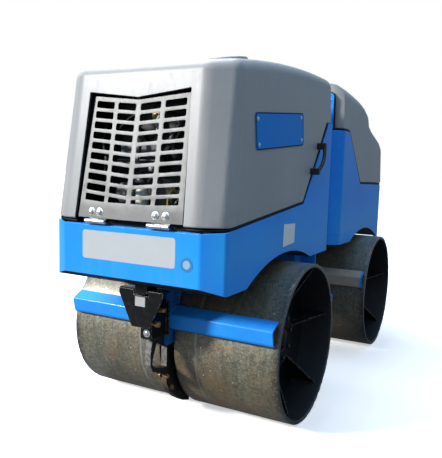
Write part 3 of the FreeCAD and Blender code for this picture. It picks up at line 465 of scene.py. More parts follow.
FC, RC = (0, -.52 + SH, .65), (0, .52 + SH, .66)
M = {
    "blue_front": blue_paint("blue_front", FC), "blue_rear": blue_paint("blue_rear", RC, dirt=.12),
    "blue": blue_paint("blue_solid", None), "blue_tan": blue_paint("blue_dusty", None, tan=True, dirt=1), "blue_bar": blue_paint("blue_bar", None, dirt=.12, coat=.14),
    # the carrier post is the same blue darkened to .42: painted shade
    "blue_post": blue_paint("blue_post", None, dirt=.5, tone=.42),
    "hood_front": hood_plastic("hood_front", (0, -.55 + SH, .93)), "hood_rear": hood_plastic("hood_rear", (0, .5 + SH, .95)),
    "sheet": sheet_steel("grille_sheet"), "zinc": zinc("zinc_plate"), "zinc_rusty": zinc("zinc_rusty", .6),
    "silver": zinc("bright_zinc", 0, 1.15), "copper": zinc("copper_rust", .2), "black": black_paint("black_paint"),
    "black_rusty": black_paint("black_worn", .8), "black_disc": black_paint("disc_black", .25, .6),
    "rubber": rubber("rubber"), "seal": rubber("seal_rubber", .16, dust=.02), "plastic": moulded_black("moulded_black"),
    "tie_f": worn_tiedown("tiedown_front", -AXLE), "tie_r": worn_tiedown("tiedown_rear", AXLE),
    "drum_f": drum_steel("drum_front", -AXLE), "drum_r": drum_steel("drum_rear", AXLE),
    "label": label("plate_film", (0.50, 0.515, 0.53)), "white": label("white_film", (0.90, 0.90, 0.89)),
    "ring": label("round_film", (0.03, 0.20, 0.46)), "round": label("round_centre", (0.30, 0.44, 0.55)), "grey": label("grey_film", (0.44, 0.44, 0.43)),
    "plate": blue_film("plate_blue"),
    "engine": cast_metal("engine_grey", (0.060, 0.066, 0.074), (0.125, 0.130, 0.135), .3, .5),
    "alloy": cast_metal("engine_alloy", (0.22, 0.22, 0.215), (0.38, 0.38, 0.37), .6, .4),
    "dark": cast_metal("dark_steel", (0.03, 0.03, 0.032), (0.09, 0.088, 0.085), .6, .4),
    "pale": plain("pale_canister", (0.60, 0.58, 0.50), (0.72, 0.70, 0.62), .4), "brass": plain("brass", (0.24, 0.17, 0.075), (0.36, 0.27, 0.13), .42, .6),
    "yellow": plain("yellow_hose", (0.50, 0.27, 0.02), (0.60, 0.36, 0.04), .4), "hose": rubber("hose_black", .45, dust=.06),
    "chrome": plain("chrome", (0.70, 0.70, 0.70), (0.82, 0.82, 0.82), .12, 1.0), "red": plain("fan_red", (0.04, 0.04, 0.045), (0.07, 0.07, 0.075), .5),
    "screw": plain("screw_bright", (0.62, 0.62, 0.60), (0.80, 0.80, 0.78), .3, .25, 160),
    "cop": plain("copper_bolt", (0.42, 0.20, 0.075), (0.62, 0.34, 0.14), .38, .55, 120),
}

# ------------------------------------------------------------- building helpers
SLOT = {"blue": "blue_paint", "hood": "grey_hood", "sheet": "stainless", "zinc": "zinc", "silver": "zinc", "copper": "zinc", "cop": "zinc",
        "black": "black_paint", "rubber": "rubber", "seal": "rubber", "hose": "rubber", "plastic": "black_plastic", "drum": "drum_steel",
        "plate": "blue_plate", "engine": "engine_metal", "alloy": "engine_metal", "dark": "dark_steel", "chrome": "chrome_rod"}


def add(name, bm, mat, body, sharp=40, weighted=True, replaces=()):
    """Makes a finished piece of a bmesh: smooth faces with sharp edges kept, a material, a body to ride on."""
    for f in bm.faces:
        f.smooth = True
    lim = math.radians(sharp)
    for e in bm.edges:
        e.smooth = not (len(e.link_faces) == 2 and e.calc_face_angle(0) > lim)
    me = bpy.data.meshes.new(name)
    bm.to_mesh(me); bm.free()
    ob = bpy.data.objects.new(name, me)
    bpy.context.scene.collection.objects.link(ob)
    me.materials.append(M[mat])
    if weighted:
        w = ob.modifiers.new("weighted", "WEIGHTED_NORMAL"); w.keep_sharp = True
    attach(ob, body)
    for k, v in SLOT.items():
        if mat.startswith(k):
            break
    if replaces:
        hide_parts(*replaces)
    return ob


def softened(node, mat, width=1.5, seg=2, angle=35, bend=0, hem=None, name=None):
    """The CAD node with its hard edges rounded off; the new faces are marked for wear."""
    src = N[node]
    bm = bmesh.new(); bm.from_mesh(src.data)
    bmesh.ops.remove_doubles(bm, verts=bm.verts, dist=2e-5)
    bmesh.ops.dissolve_limit(bm, angle_limit=math.radians(0.4), verts=bm.verts, edges=bm.edges)
    lay = bm.loops.layers.float_color.new("wear")
    for f in bm.faces:
        for l in f.loops:
            l[lay] = (0, 0, 0, 1)
    if hem:        # outer lower edge of a moulded hood
        c = Vector(hem)
        low = []
        for e in bm.edges:
            if len(e.link_faces) != 2 or e.calc_face_angle(0) < math.radians(50):
                continue
            fa, fb = e.link_faces
            if fa.normal.z > fb.normal.z:
                fa, fb = fb, fa
            rim = fa.normal.z < -.55 and fb.normal.z > -.3 and abs(fb.normal.z) < .4
            if rim and fb.normal.dot(e.verts[0].co - c) > .02 and max(v.co.z for v in e.verts) < 1.13:
                low.append(e)
        bmesh.ops.bevel(bm, geom=low, offset=.0046, offset_type="OFFSET", segments=4, profile=.5, affect="EDGES", clamp_overlap=False)
    if bend:       # the bar's long outer folds get the bend radius of thick plate
        long = [e for e in bm.edges if len(e.link_faces) == 2 and abs(e.verts[0].co.x - e.verts[1].co.x) > .1
                and math.radians(20) < e.calc_face_angle(0) < math.radians(80) and e.is_convex]
        bmesh.ops.bevel(bm, geom=long, offset=bend / 1000, offset_type="OFFSET", segments=5, profile=.5, affect="EDGES", clamp_overlap=False)
    es = [e for e in bm.edges if len(e.link_faces) == 2 and e.calc_face_angle(0) > math.radians(angle)]
    r = bmesh.ops.bevel(bm, geom=es, offset=width / 1000, offset_type="OFFSET", segments=seg, profile=.5, affect="EDGES",
                        clamp_overlap=False, loop_slide=True)
    for f in r["faces"]:
        for l in f.loops:
            l[lay] = (1, 1, 1, 1)
    bmesh.ops.remove_doubles(bm, verts=bm.verts, dist=1e-6)
    bmesh.ops.triangulate(bm, faces=[f for f in bm.faces if len(f.verts) > 4])
    return add(name or node + "_fine", bm, mat, src["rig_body"], sharp=50, replaces=(node,))


def frame_of(axis):
    z = Vector(axis).normalized()
    x = z.orthogonal().normalized()
    return Matrix((x, z.cross(x), z)).transposed()


def lathe(bm, at, axis, profile, n=32, start=None):
    """Revolves (distance along axis, radius) points, in millimetres, about an axis through at; closes both ends."""
    R = frame_of(axis)
    rings = []
    for h, r in profile:
        ring = []
        if r < 1e-6:
            ring = [bm.verts.new(at + R @ Vector((0, 0, h / 1000)))]
        else:
            for i in range(n):
                a = 2 * math.pi * i / n
                ring.append(bm.verts.new(at + R @ Vector((r / 1000 * math.cos(a), r / 1000 * math.sin(a), h / 1000))))
        rings.append(ring)
    for a, b in zip(rings, rings[1:]):
        if len(a) == 1 and len(b) == 1:
            continue
        for i in range(n):
            j = (i + 1) % n
            if len(a) == 1:
                bm.faces.new((a[0], b[i], b[j]))
            elif len(b) == 1:
                bm.faces.new((a[j], a[i], b[0]))
            else:
                bm.faces.new((a[i], b[i], b[j], a[j]))
    if len(rings[0]) > 1:
        bm.faces.new(rings[0])
    if len(rings[-1]) > 1:
        bm.faces.new(list(reversed(rings[-1])))


def dome_bolt(bm, at, axis, r, h):
    lathe(bm, at, axis, [(-1.0, r * .98), (0, r * 1.0), (h * .16, r * .995), (h * .42, r * .90), (h * .66, r * .74), (h * .85, r * .50), (h * .97, r * .22), (h, 0)], 28)


def hex_bolt(bm, at, axis, r, h, washer=True, turn=0.0, stud=0.0):
    """Hex head of half-width r and height h on a washer, with a rounded top; stud lengthens it by a threaded end."""
    R = frame_of(axis)
    z0 = 0.0
    if washer:
        lathe(bm, at, axis, [(-.5, r * 1.42), (0, r * 1.46), (r * .16, r * 1.46), (r * .22, r * 1.40), (r * .22, r * .5)], 28)
        z0 = r * .2
    rings = []
    for hh, k, flat in ((z0, 1.0, 0), (z0 + h * .84, 1.0, 0), (z0 + h, .86, 1), (z0 + h, .0, 2)):
        if flat == 2:
            rings.append([bm.verts.new(at + R @ Vector((0, 0, hh / 1000)))])
            continue
        ring = []
        for i in range(24):
            a = 2 * math.pi * i / 24 + turn
            sect = (a - turn) % (math.pi / 3) - math.pi / 6
            rr = r / math.cos(sect) if not flat else r * .97
            ring.append(bm.verts.new(at + R @ Vector((rr * k * math.cos(a) / 1000, rr * k * math.sin(a) / 1000, hh / 1000))))
        rings.append(ring)
    for a, b in zip(rings, rings[1:]):
        for i in range(24):
            j = (i + 1) % 24
            if len(b) == 1:
                bm.faces.new((a[j], a[i], b[0]))
            else:
                bm.faces.new((a[i], b[i], b[j], a[j]))
    bm.faces.new(rings[0])
    if stud:
        prof = [(z0 + h - .5, r * .48)]
        n = int(stud / 1.2)
        for i in range(n):
            prof += [(z0 + h + i * 1.2, r * .48), (z0 + h + i * 1.2 + .6, r * .54)]
        prof += [(z0 + h + stud, r * .46), (z0 + h + stud + .8, r * .38), (z0 + h + stud + .8, 0)]
        lathe(bm, at, axis, prof, 20)


def rounded_outline(w, h, r, n=6, cut=0):
    pts = []
    for cx, cy, a0 in ((w / 2 - r, h / 2 - r, 0), (-w / 2 + r, h / 2 - r, 90), (-w / 2 + r, -h / 2 + r, 180), (w / 2 - r, -h / 2 + r, 270)):
        for i in range(n + 1):
            a = math.radians(a0 + 90 * i / n)
            pts.append((cx + r * math.cos(a), cy + r * math.sin(a)))
    return pts


def slab(bm, pts3, inward, t, soft=.3):
    """A thin sheet from a closed outline of 3-D points, t thick along inward, with a softened front edge."""
    c = sum(pts3, Vector()) / len(pts3)
    n = inward.normalized()
    k = soft / 1000
    front = [bm.verts.new(p + (c - p).normalized() * k) for p in pts3]
    mid = [bm.verts.new(p + n * k) for p in pts3]
    back = [bm.verts.new(p + n * (t / 1000)) for p in pts3]
    bm.faces.new(front)
    for a, b in ((front, mid), (mid, back)):
        for i in range(len(pts3)):
            j = (i + 1) % len(pts3)
            bm.faces.new((a[i], b[i], b[j], a[j]))
    bm.faces.new(list(reversed(back)))


def tube(bm, pts, r, n=12, closed=False, smooth=True, caps=True, ripple=0.0, seed=0):
    """Round tube along points, in metres; ripple gives a weld bead's scales."""
    if smooth and len(pts) > 2:
        cv = bpy.data.curves.new("tmp", "CURVE"); cv.dimensions = "3D"
        sp = cv.splines.new("NURBS"); sp.points.add(len(pts) - 1)
        for q, p in zip(sp.points, pts):
            q.co = (*p, 1)
        sp.order_u, sp.use_endpoint_u, sp.resolution_u = 3, True, 10
        ob = bpy.data.objects.new("tmp", cv); bpy.context.scene.collection.objects.link(ob)
        me = bpy.data.meshes.new_from_object(ob)
        pts = [v.co.copy() for v in me.vertices]
        bpy.data.objects.remove(ob); bpy.data.curves.remove(cv); bpy.data.meshes.remove(me)
    m = len(pts)
    tang = [(pts[min(i + 1, m - 1)] - pts[max(i - 1, 0)]).normalized() for i in range(m)]
    u = tang[0].orthogonal().normalized()
    rings = []
    for i, p in enumerate(pts):
        u = (u - tang[i] * u.dot(tang[i])).normalized()
        v = tang[i].cross(u)
        k = r * (1 + ripple * (abs(math.sin(i * 1.45 + seed)) - .5))
        rings.append([bm.verts.new(p + u * k * math.cos(2 * math.pi * j / n) + v * k * math.sin(2 * math.pi * j / n)) for j in range(n)])
    for a, b in zip(rings, rings[1:]):
        for j in range(n):
            q = (j + 1) % n
            bm.faces.new((a[j], a[q], b[q], b[j]))
    if caps:
        bm.faces.new(list(reversed(rings[0]))); bm.faces.new(rings[-1])


def bead(bm, a, b, r=2.2, seed=0):
    """Weld bead along a straight line between two points given in millimetres."""
    a, b = P(*a), P(*b)
    n = max(6, int((b - a).length / .0022))
    tube(bm, [a.lerp(b, i / n) for i in range(n + 1)], r / 1000, 8, smooth=False, ripple=.35, seed=seed)


def box(bm, lo, hi, r=2.0, seg=2):
    """Softened block between two corners in millimetres."""
    res = bmesh.ops.create_cube(bm, size=1)
    a, b = P(*lo), P(*hi)
    for v in res["verts"]:
        v.co = Vector([(a[i] + b[i]) / 2 + v.co[i] * (b[i] - a[i]) for i in range(3)])
    es = list({e for v in res["verts"] for e in v.link_edges})
    bmesh.ops.bevel(bm, geom=es, offset=r / 1000, segments=seg, profile=.5, affect="EDGES", clamp_overlap=True)


# ------------------------------------------------------------- the CAD nodes, softened
SOFT = [  # node, material, edge width in mm, segments, least angle
    ("front_chassis", "blue_front", 1.8, 3, 32), ("rear_chassis", "blue_rear", 1.8, 3, 32), ("rear_upright", "blue", 1.4, 2, 40),
    ("lifting_eye", "blue", 2.0, 3, 40), ("front_hood", "hood_front", 1.8, 2, 50, 0, (0, -.5, .9)), ("rear_hood", "hood_rear", 1.8, 2, 50, 0, (0, .55, .95)),
    ("hood_cap", "hood_front", 1.0, 2, 50), ("grille_frame", "black", 0.8, 2, 40), ("front_grille", "sheet", 0.5, 1, 50),
    ("side_nameplates", "plate", 0.8, 2, 50), ("hood_grips", "plastic", 1.0, 2, 50),
    ("front_hood_hinge_leaves", "zinc", 0.6, 2, 45), ("front_hood_hinge_pins", "zinc", 0.6, 2, 45),
    ("rear_hood_hinge_leaves", "zinc", 0.6, 2, 45), ("rear_hood_hinge_pins", "zinc", 0.6, 2, 45),
    ("front_drum_guards", "blue_bar", 1.4, 2, 35, 6.5), ("rear_drum_guards", "blue_tan", 1.4, 2, 35, 6.5),
    ("front_drum_carrier", "blue_post", 2.0, 2, 35), ("rear_drum_carrier", "blue_tan", 2.0, 2, 35),
    ("front_bracket", "black", 1.4, 2, 40), ("rear_bracket", "black", 1.4, 2, 40),
    ("front_scraper", "tie_f", 1.8, 3, 35), ("rear_scraper", "tie_r", 1.8, 3, 35),
    ("front_drum_discs", "black_disc", 1.4, 2, 40), ("rear_drum_discs", "black_disc", 1.4, 2, 40),
    ("engine_block", "engine", 3.0, 2, 50), ("hydraulic_tank", "black", 2.0, 2, 50),
    ("oscillation_housing", "black", 1.6, 2, 40), ("steering_link", "black", 1.6, 2, 40), ("articulation_knuckle", "black", 1.6, 2, 40),
    ("steering_arm", "black", 1.4, 2, 40), ("steering_barrel", "black", 1.0, 2, 40),
]
for row in SOFT:
    softened(*row)
for node in ("articulation_pin", "cylinder_base_pin", "steering_rod", "front_axle", "rear_axle"):
    softened(node, "chrome" if node == "steering_rod" else "dark", 0.8, 2, 50)


# ------------------------------------------------------------- drum shells
def shell(node, sx, axle, mat, body, seed):
    """One drum half: lathe-turned, a little uneven from use, with a shallow weld ring and a chipped outer rim."""
    R, W, G = DRUM_R * 1000, 425.0, 30.0
    T = 14.0
    outer = [(G, R - 1.6), (G + 1.6, R - .2)] + [(x, R) for x in range(40, 110, 9)]
    outer += [(112.4, R), (113.6, R - 1.3), (116, R - .5), (118.6, R - .4), (120.6, R - 1.3), (121.8, R)]
    outer += [(x, R) for x in range(128, 418, 9)] + [(419.5, R), (422.3, R - .15), (424.0, R - .9), (424.8, R - 2.1), (425, R - 3.6)]
    prof = outer + [(425, R - 7), (425, R - 10.6), (424.6, R - 12.2), (423.2, R - T)]
    prof += [(x, R - T) for x in range(410, 40, -24)] + [(G, R - T)]
    n = 300
    bm = bmesh.new()
    lay = bm.loops.layers.float_color.new("wear")
    rings = []
    for i in range(n):
        a = 2 * math.pi * i / n
        c, s = math.cos(a), math.sin(a)
        ring = []
        for k, (x, r) in enumerate(prof):
            q = Vector((x / 60, c * 4.5 + seed, s * 4.5))
            if r > R - T + 1:
                dent = max(0, noise.noise(q * .8) * 1.0) + .35 * (noise.noise(q * 3.1) * .5 + .5)
                edge = max(0, 1 - (W - x) / 9) if x > 300 else max(0, 1 - (x - G) / 6)
                chip = max(0, noise.noise(Vector((c * 16 + seed, s * 16, x / 40))) - .05) * 3.0
                r -= dent + edge * chip * .8
                x -= (1 if x > 300 else -1) * edge * chip * .55
            ring.append(bm.verts.new(P(sx * x, axle, R) + Vector((0, c * r / 1000, s * r / 1000))))
        rings.append(ring)
    m = len(prof)
    for i in range(n):
        a, b = rings[i], rings[(i + 1) % n]
        for k in range(m):
            q = (k + 1) % m
            f = (a[k], a[q], b[q], b[k])
            bm.faces.new(f if sx > 0 else tuple(reversed(f)))
    bmesh.ops.recalc_face_normals(bm, faces=bm.faces)
    add(node + "_worn", bm, mat, body, sharp=50, replaces=(node,))


for end, sgn in (("front", -1), ("rear", 1)):
    for side, sx in (("left", -1), ("right", 1)):
        shell(f"{end}_drum_shell_{side}", sx, sgn * AXLE * 1000, "drum_f" if end == "front" else "drum_r", f"{end}_drums", sgn * 3 + sx)
    bm, bc = bmesh.new(), bmesh.new()
    for sx in (-1, 1):
        for k in range(8):
            a = math.radians(45 * k + 11)
            p = P(sx * 318, sgn * AXLE * 1000 + 80 * math.cos(a), 290 + 80 * math.sin(a))
            hex_bolt(bm, p, (sx, 0, 0), 9, 9, turn=k * .7)
        lathe(bc, P(sx * 317.6, sgn * AXLE * 1000, 290), (sx, 0, 0),
              [(0, 40), (0, 58), (2.5, 60), (6, 60), (8.5, 57), (9, 50), (9.2, 47), (6, 45), (6, 40), (12, 36), (17, 30), (20, 20), (21, 9), (21, 0)], 48)
    add(f"{end}_hub_bolts", bm, "dark", f"{end}_drums")
    add(f"{end}_hub_caps", bc, "black_disc", f"{end}_drums")


# ------------------------------------------------------------- grille band, hinges, labels at the nose
def sheet_y(x, z):
    return -1072 + (z - 745) / 391 * 62 - 8 * (1 - abs(x) / 200)


bm = bmesh.new()
nrm = Vector((0, -math.cos(math.atan2(62, 391)), math.sin(math.atan2(62, 391))))
for x, z in ((-145, 764), (-111, 764.5), (103, 766), (139, 766.5)):
    at = P(x, sheet_y(x, z), z)
    lathe(bm, at, nrm, [(-.8, 12.6), (0, 12.8), (1.1, 12.8), (1.5, 12.2), (1.5, 6)], 28)
    dome_bolt(bm, at + nrm * .0012, nrm, 11.0, 6.6)
add("grille_band_bolts", bm, "silver", "front_hood_body")

bm = bmesh.new()
for cx in (-121, 121):      # turned ends on the hinge pins
    for sx in (-1, 1):
        lathe(bm, P(cx + sx * 38.2, -1083, 735), (sx, 0, 0), [(0, 6.9), (.4, 7.0), (1.6, 6.6), (2.6, 5.2), (3.0, 3.0), (3.0, 0)], 24)
add("hinge_pin_ends", bm, "silver", "front_frame")


def plate3(name, pts, out, mat, body, t=.7, soft=.35, lift=.05):
    """A thin film or plate on a face: pts in millimetres, out the outward direction."""
    o = Vector(out).normalized()
    bm = bmesh.new()
    q = [P(*p) + o * (lift + t) / 1000 for p in pts]
    slab(bm, q, -o, t + lift - .02, soft)
    bmesh.ops.recalc_face_normals(bm, faces=bm.faces)
    return add(name, bm, mat, body, sharp=35)


def film_nose(name, x0, x1, z0, z1, r, y, mat, body, t=.6):
    cx, cz = (x0 + x1) / 2, (z0 + z1) / 2
    pts = [(cx - u, y, cz + v) for u, v in rounded_outline(x1 - x0, z1 - z0, r, 8)]
    return plate3(name, pts, (0, -1, 0), mat, body, t)


film_nose("nose_blank_label", -180, 178, 612, 704, 9, -1073, "label", "front_frame")
film_nose("nose_round_label", 196, 240, 606, 650, 21.9, -1073, "ring", "front_frame")
film_nose("nose_round_label_centre", 205, 231, 615, 641, 12.9, -1073.6, "round", "front_frame", .3)
film_nose("bracket_blank_label", -21, 19, 458, 490, 2, -1000, "grey", "front_frame")
for sx, sd in ((1, "right"), (-1, "left")):
    pts = [(sx * 330, y, z) for y, z in ((-600, 640), (-490, 646), (-487, 718), (-597, 722))]
    plate3(f"side_blank_label_{sd}", pts if sx > 0 else pts[::-1], (sx, 0, 0), "white", "front_frame")


# name plates: dark printed border line and four screws
def side_x(z):
    return 330.8 - (z - 700) * 11.3 / 640


NPL = [(-865, 1090), (-439, 1129), (-430, 1009), (-851, 972)]
for sx, sd in ((1, "right"), (-1, "left")):
    cy, cz = sum(p[0] for p in NPL) / 4, sum(p[1] for p in NPL) / 4
    bm = bmesh.new()
    for y, z in NPL:
        dy, dz = cy - y, cz - z
        y2, z2 = y + math.copysign(20, dy), z + math.copysign(19, dz)
        at = P(sx * (side_x(z2) + 3.3), y2, z2)
        lathe(bm, at, (sx, 0, .0177), [(-.5, 6.6), (0, 6.8), (.5, 6.8), (.7, 6.2)], 24)
        dome_bolt(bm, at, (sx, 0, .0177), 5.4, 3.4)
    add(f"nameplate_screws_{sd}", bm, "screw", "front_hood_body")
    bm = bmesh.new()      # a thin raised line set in from the edge
    ring = []
    ins = 2.6
    cr = []
    for k, (y, z) in enumerate(NPL):
        cr.append((y + math.copysign(ins, cy - y), z + math.copysign(ins, cz - z)))
    r = 12.5
    for k in range(4):
        p0, p1, p2 = Vector(cr[k - 1]), Vector(cr[k]), Vector(cr[(k + 1) % 4])
        a, b = (p0 - p1).normalized(), (p2 - p1).normalized()
        for i in range(7):
            t = i / 6
            q = p1 + a * r * (1 - t) ** 2 + b * r * t ** 2
            ring.append(q)
    m = len(ring)
    rows = []
    for i, q in enumerate(ring):
        tdir = (ring[(i + 1) % m] - ring[i - 1]).normalized()
        w = Vector((-tdir.y, tdir.x))
        rows.append([bm.verts.new(P(sx * (side_x(z) + 3.3 + h), y, z)) for (y, z), h in
                     (((q + w * 1.9), -.1), ((q + w * 1.9), .4), ((q - w * 1.9), .4), ((q - w * 1.9), -.1))])
    for i in range(m):
        a, b = rows[i], rows[(i + 1) % m]
        for k in range(4):
            bm.faces.new((a[k], b[k], b[(k + 1) % 4], a[(k + 1) % 4]))
    bmesh.ops.recalc_face_normals(bm, faces=bm.faces)
    add(f"nameplate_border_{sd}", bm, "seal", "front_hood_body", sharp=60)


# ------------------------------------------------------------- seals
def seal(name, pts, r, body, mat="seal", n=10):
    bm = bmesh.new()
    tube(bm, [P(*p) for p in pts], r / 1000, n)
    add(name, bm, mat, body, sharp=60)


for sx, sd in ((1, "right"), (-1, "left")):
    pts = [(322, -136, 1115), (322, -250, 979), (322, -394, 806), (322, -404, 794), (322, -424, 789), (322, -720, 761), (322, -990, 735.5),
           (321, -1012, 733.5), (316, -1026, 733), (290, -1042, 732.5), (262, -1060, 732), (250, -1064, 731.5), (206, -1064, 731)]
    seal(f"front_hood_seal_{sd}", [(sx * x, y, z) for x, y, z in pts], 5.2, "front_frame")
    pts = [(278, 88.6, 1118), (282, 93, 1111), (296, 101, 1110), (318, 118, 1110), (323, 128, 1110), (323.5, 190, 1110), (323.5, 203, 1109),
           (323.5, 215, 1098), (324, 330, 980), (324, 438, 870), (324, 450, 862), (324, 470, 860.5), (324, 700, 857.3), (323, 905, 854.5),
           (320, 918, 853.5), (300, 932, 851), (264, 953, 849)]
    seal(f"rear_hood_seal_{sd}", [(sx * x, y, z) for x, y, z in pts], 5.8, "rear_frame")
pts = [(-283.5, 93.6, 1116), (-282.5, 93.8, 1160), (-281.5, 94.2, 1240), (-280, 94.3, 1266), (-266, 94.5, 1278), (-230, 94.5, 1280), (0, 94.5, 1280)]
seal("rear_upright_seal", pts + [(-x, y, z) for x, y, z in reversed(pts[:-1])], 3.8, "rear_frame")

# closing strip between the front plate's flange and the hood
bm = bmesh.new()
box(bm, (-244, -1050, 722.5), (244, -1045, 744), 1.5)
add("nose_closing_strip", bm, "seal", "front_frame")

# ------------------------------------------------------------- fold line of the rear body, weld beads
for sx, sd in ((1, "right"), (-1, "left")):
    bm = bmesh.new()
    pts = [P(sx * x, y, z) for x, y, z in ((262, 74.4, 622), (279, 74.6, 622), (287, 78.5, 622.2), (322, 107, 622.6), (329, 116, 622.8), (330.2, 130, 623),
                                          (330.2, 200, 623.5), (330.2, 300, 624.5), (330.2, 400, 625.5), (330.2, 470, 626))]
    tube(bm, pts, .0014, 8)
    add(f"rear_body_fold_{sd}", bm, "blue_rear", "rear_frame")
for end, axle in (("front", -550), ("rear", 550)):
    bm = bmesh.new()
    k = 0
    for sy in (-1, 1):
        for sx in (-1, 1):
            prof = [(268, 431.5), (318.2, 407), (309, 357.5)]
            for (ya, za), (yb, zb) in zip(prof, prof[1:]):
                bead(bm, (sx * 25, axle + sy * ya, za), (sx * 25, axle + sy * min(yb, 323), zb), 2.6, k)
                k += 1
            bead(bm, (sx * 23, axle + sy * 250.5, 300), (sx * 23, axle + sy * 250.5, 470), 2.4, k)
            # root weld between the guard's lower edge and the column's face
            bead(bm, (sx * 14, axle + sy * 324.5, 404), (-sx * 14, axle + sy * 324.5, 404), 2.0, k + 3)
    add(f"{end}_guard_welds", bm, "blue_bar" if end == "front" else "blue_tan", "front_frame" if end == "front" else "rear_frame")

# ------------------------------------------------------------- rubber mounts
for end, sg, axle, z_out, z_in in (("front", 1, -550, 537.3, 569.3), ("rear", -1, 550, 549.8, 570.3)):
    body = end + "_frame"
    br, bp = bmesh.new(), bmesh.new()
    spots = [(0, axle - sg * 287, 500, z_out)] + [(x, axle + sg * 350, 470, z_in) for x in (-98, 98)]
    for x, y, z0, z1 in spots:
        h = z1 - z0
        lathe(bp, P(x, y, z0), (0, 0, 1), [(0, 19.6), (.4, 20), (3.2, 20), (3.6, 19.6), (3.6, 8)], 40)
        lathe(bp, P(x, y, z1), (0, 0, -1), [(0, 19.6), (.4, 20), (3.2, 20), (3.6, 19.6), (3.6, 8)], 40)
        prof = [(3.0, 10), (3.4, 18.6)] + [(3.4 + (h - 6.8) * i / 10, 18.6 - 3.2 * math.sin(math.pi * i / 10)) for i in range(1, 10)] + [(h - 3.4, 18.6), (h - 3.0, 10)]
        lathe(br, P(x, y, z0), (0, 0, 1), prof, 40)
    if end == "front":
        for x in (-247, 247):
            lathe(br, P(x, -900, 506), (0, 0, 1), [(0, 12), (.6, 15), (2.2, 17.4), (5, 18.6), (14, 19.6), (24, 18.4), (27.5, 18.2)], 40)
            lathe(bp, P(x, -900, 537.3), (0, 0, -1), [(0, 19.6), (.4, 20), (3.2, 20), (3.8, 19.4), (3.8, 9)], 40)
    add(f"{end}_mount_rubbers", br, "rubber", body, replaces=(f"{end}_rubber_mounts",))
    add(f"{end}_mount_plates", bp, "zinc_rusty", body)

# ------------------------------------------------------------- brackets and tie-downs
for end, axle, y0, sy in (("front", -550, -1000, -1), ("rear", 550, 934, 1)):
    d = -sy
    body = end + "_frame"
    bc, bs = bmesh.new(), bmesh.new()
    yt = y0 + d * 34
    dome_bolt(bs, P(3.5, yt, 360), (0, sy, 0), 10, 6)
    lathe(bs, P(3.5, yt, 360), (0, sy, 0), [(-.5, 13), (0, 13.4), (1.4, 13.4), (1.8, 12.8), (1.8, 8)], 28)
    # cross bolt through the webs with its nut, rusty
    lathe(bc, P(23, y0 + d * 27, 400), (1, 0, 0), [(-1, 8.2), (0, 8.4), (3, 8.4), (3, 6.4), (22, 6.4), (22, 10.2), (33, 10.2), (35, 8.8), (35.8, 5), (35.8, 0)], 28)
    hex_bolt(bc, P(-23, y0 + d * 27, 400), (-1, 0, 0), 8, 7)
    lathe(bc, P(38, y0 + d * 40, 446), (1, 0, 0), [(-16, 5.4), (6, 5.4), (6, 9.6), (14, 9.6), (15.4, 8.4), (26, 8.2), (32, 6.6), (32.6, 0)], 24)
    for x, u, z in ((12.0, 303, 178), (12.0, 271, 128)):
        hex_bolt(bc, P(x, axle + sy * u, z), (1, 0, 0), 6.6, 6, turn=z)
        hex_bolt(bc, P(-x, axle + sy * u, z), (-1, 0, 0), 6.6, 6, turn=z)
    add(f"{end}_bracket_rusty_bolts", bc, "cop", body)
    add(f"{end}_tab_bolt", bs, "silver", body)

# ------------------------------------------------------------- tail hardware, eye plate bolts, hood catches
bm = bmesh.new()
for x in (-45, 45):
    for z in (1145, 1246):
        hex_bolt(bm, P(x, 75, z), (0, -1, 0), 8, 6, turn=x)
for sx in (-1, 1):
    for z in (940, 1050, 1160, 1240):
        hex_bolt(bm, P(sx * 262, 83, z), (0, -1, 0), 5.4, 4.2, turn=z)
add("upright_bolts", bm, "zinc", "rear_frame")
bm = bmesh.new()
for cx in (-130, 130):
    for a in (-22.5, 22.5):
        for z in (816, 834):
            dome_bolt(bm, P(cx + a, 962, z - 2), (0, 1, 0), 4.2, 2.4)
add("rear_hinge_screws", bm, "silver", "rear_frame")

# ------------------------------------------------------------- what shows behind the grille
def group(name, mat, body, build, sharp=40):
    bm = bmesh.new()
    build(bm)
    add(name, bm, mat, body, sharp=sharp)


def fan(bm):
    c = P(0, -941, 930)
    lathe(bm, c, (0, -1, 0), [(-14, 20), (-14, 44), (-8, 48), (10, 48), (14, 44), (17, 30), (18, 12), (18, 0)], 40)
    for k in range(9):
        a0 = 2 * math.pi * k / 9
        rows = []
        for j in range(9):
            rr = 44 + 114 * j / 8
            sweep = a0 + .16 * (j / 8) ** 2
            row = []
            for side in (-1, 1):
                for i in range(7):
                    t = i / 6 - .5
                    if side < 0:
                        t = -t
                    w = 30 + 18 * math.sin(math.pi * j / 9)
                    yy = t * w * .62 + (side * .9 if abs(t) < .49 else 0) + 4 * (1 - 4 * t * t)
                    tt = t * w * .78
                    an = sweep + tt / rr
                    row.append(bm.verts.new(c + Vector((rr * math.cos(an), yy, rr * math.sin(an))) / 1000))
            rows.append(row)
        m = len(rows[0])
        for a, b in zip(rows, rows[1:]):
            for i in range(m):
                q = (i + 1) % m
                bm.faces.new((a[i], a[q], b[q], b[i]))
        bm.faces.new(list(reversed(rows[0]))); bm.faces.new(rows[-1])
    bmesh.ops.remove_doubles(bm, verts=bm.verts, dist=1e-6)
    bmesh.ops.recalc_face_normals(bm, faces=bm.faces)


def cooler(bm):
    """Core with fins, header tanks and a shroud ring behind the fan."""
    box(bm, (-190, -917, 722), (-172, -902, 1118), 3)
    box(bm, (172, -917, 722), (190, -902, 1118), 3)
    box(bm, (-190, -919, 1096), (190, -901, 1120), 4)
    box(bm, (-190, -919, 720), (190, -901, 744), 4)
    for k in range(27):
        z = 751 + k * 12.6
        box(bm, (-173, -913, z), (173, -904, z + 6.5), 1.4, 1)
    c = P(0, -921, 930)
    lathe(bm, c, (0, -1, 0), [(0, 160), (0, 172), (20, 170), (36, 165), (38, 164.4), (38, 162.4), (20, 163), (4, 160)], 72)


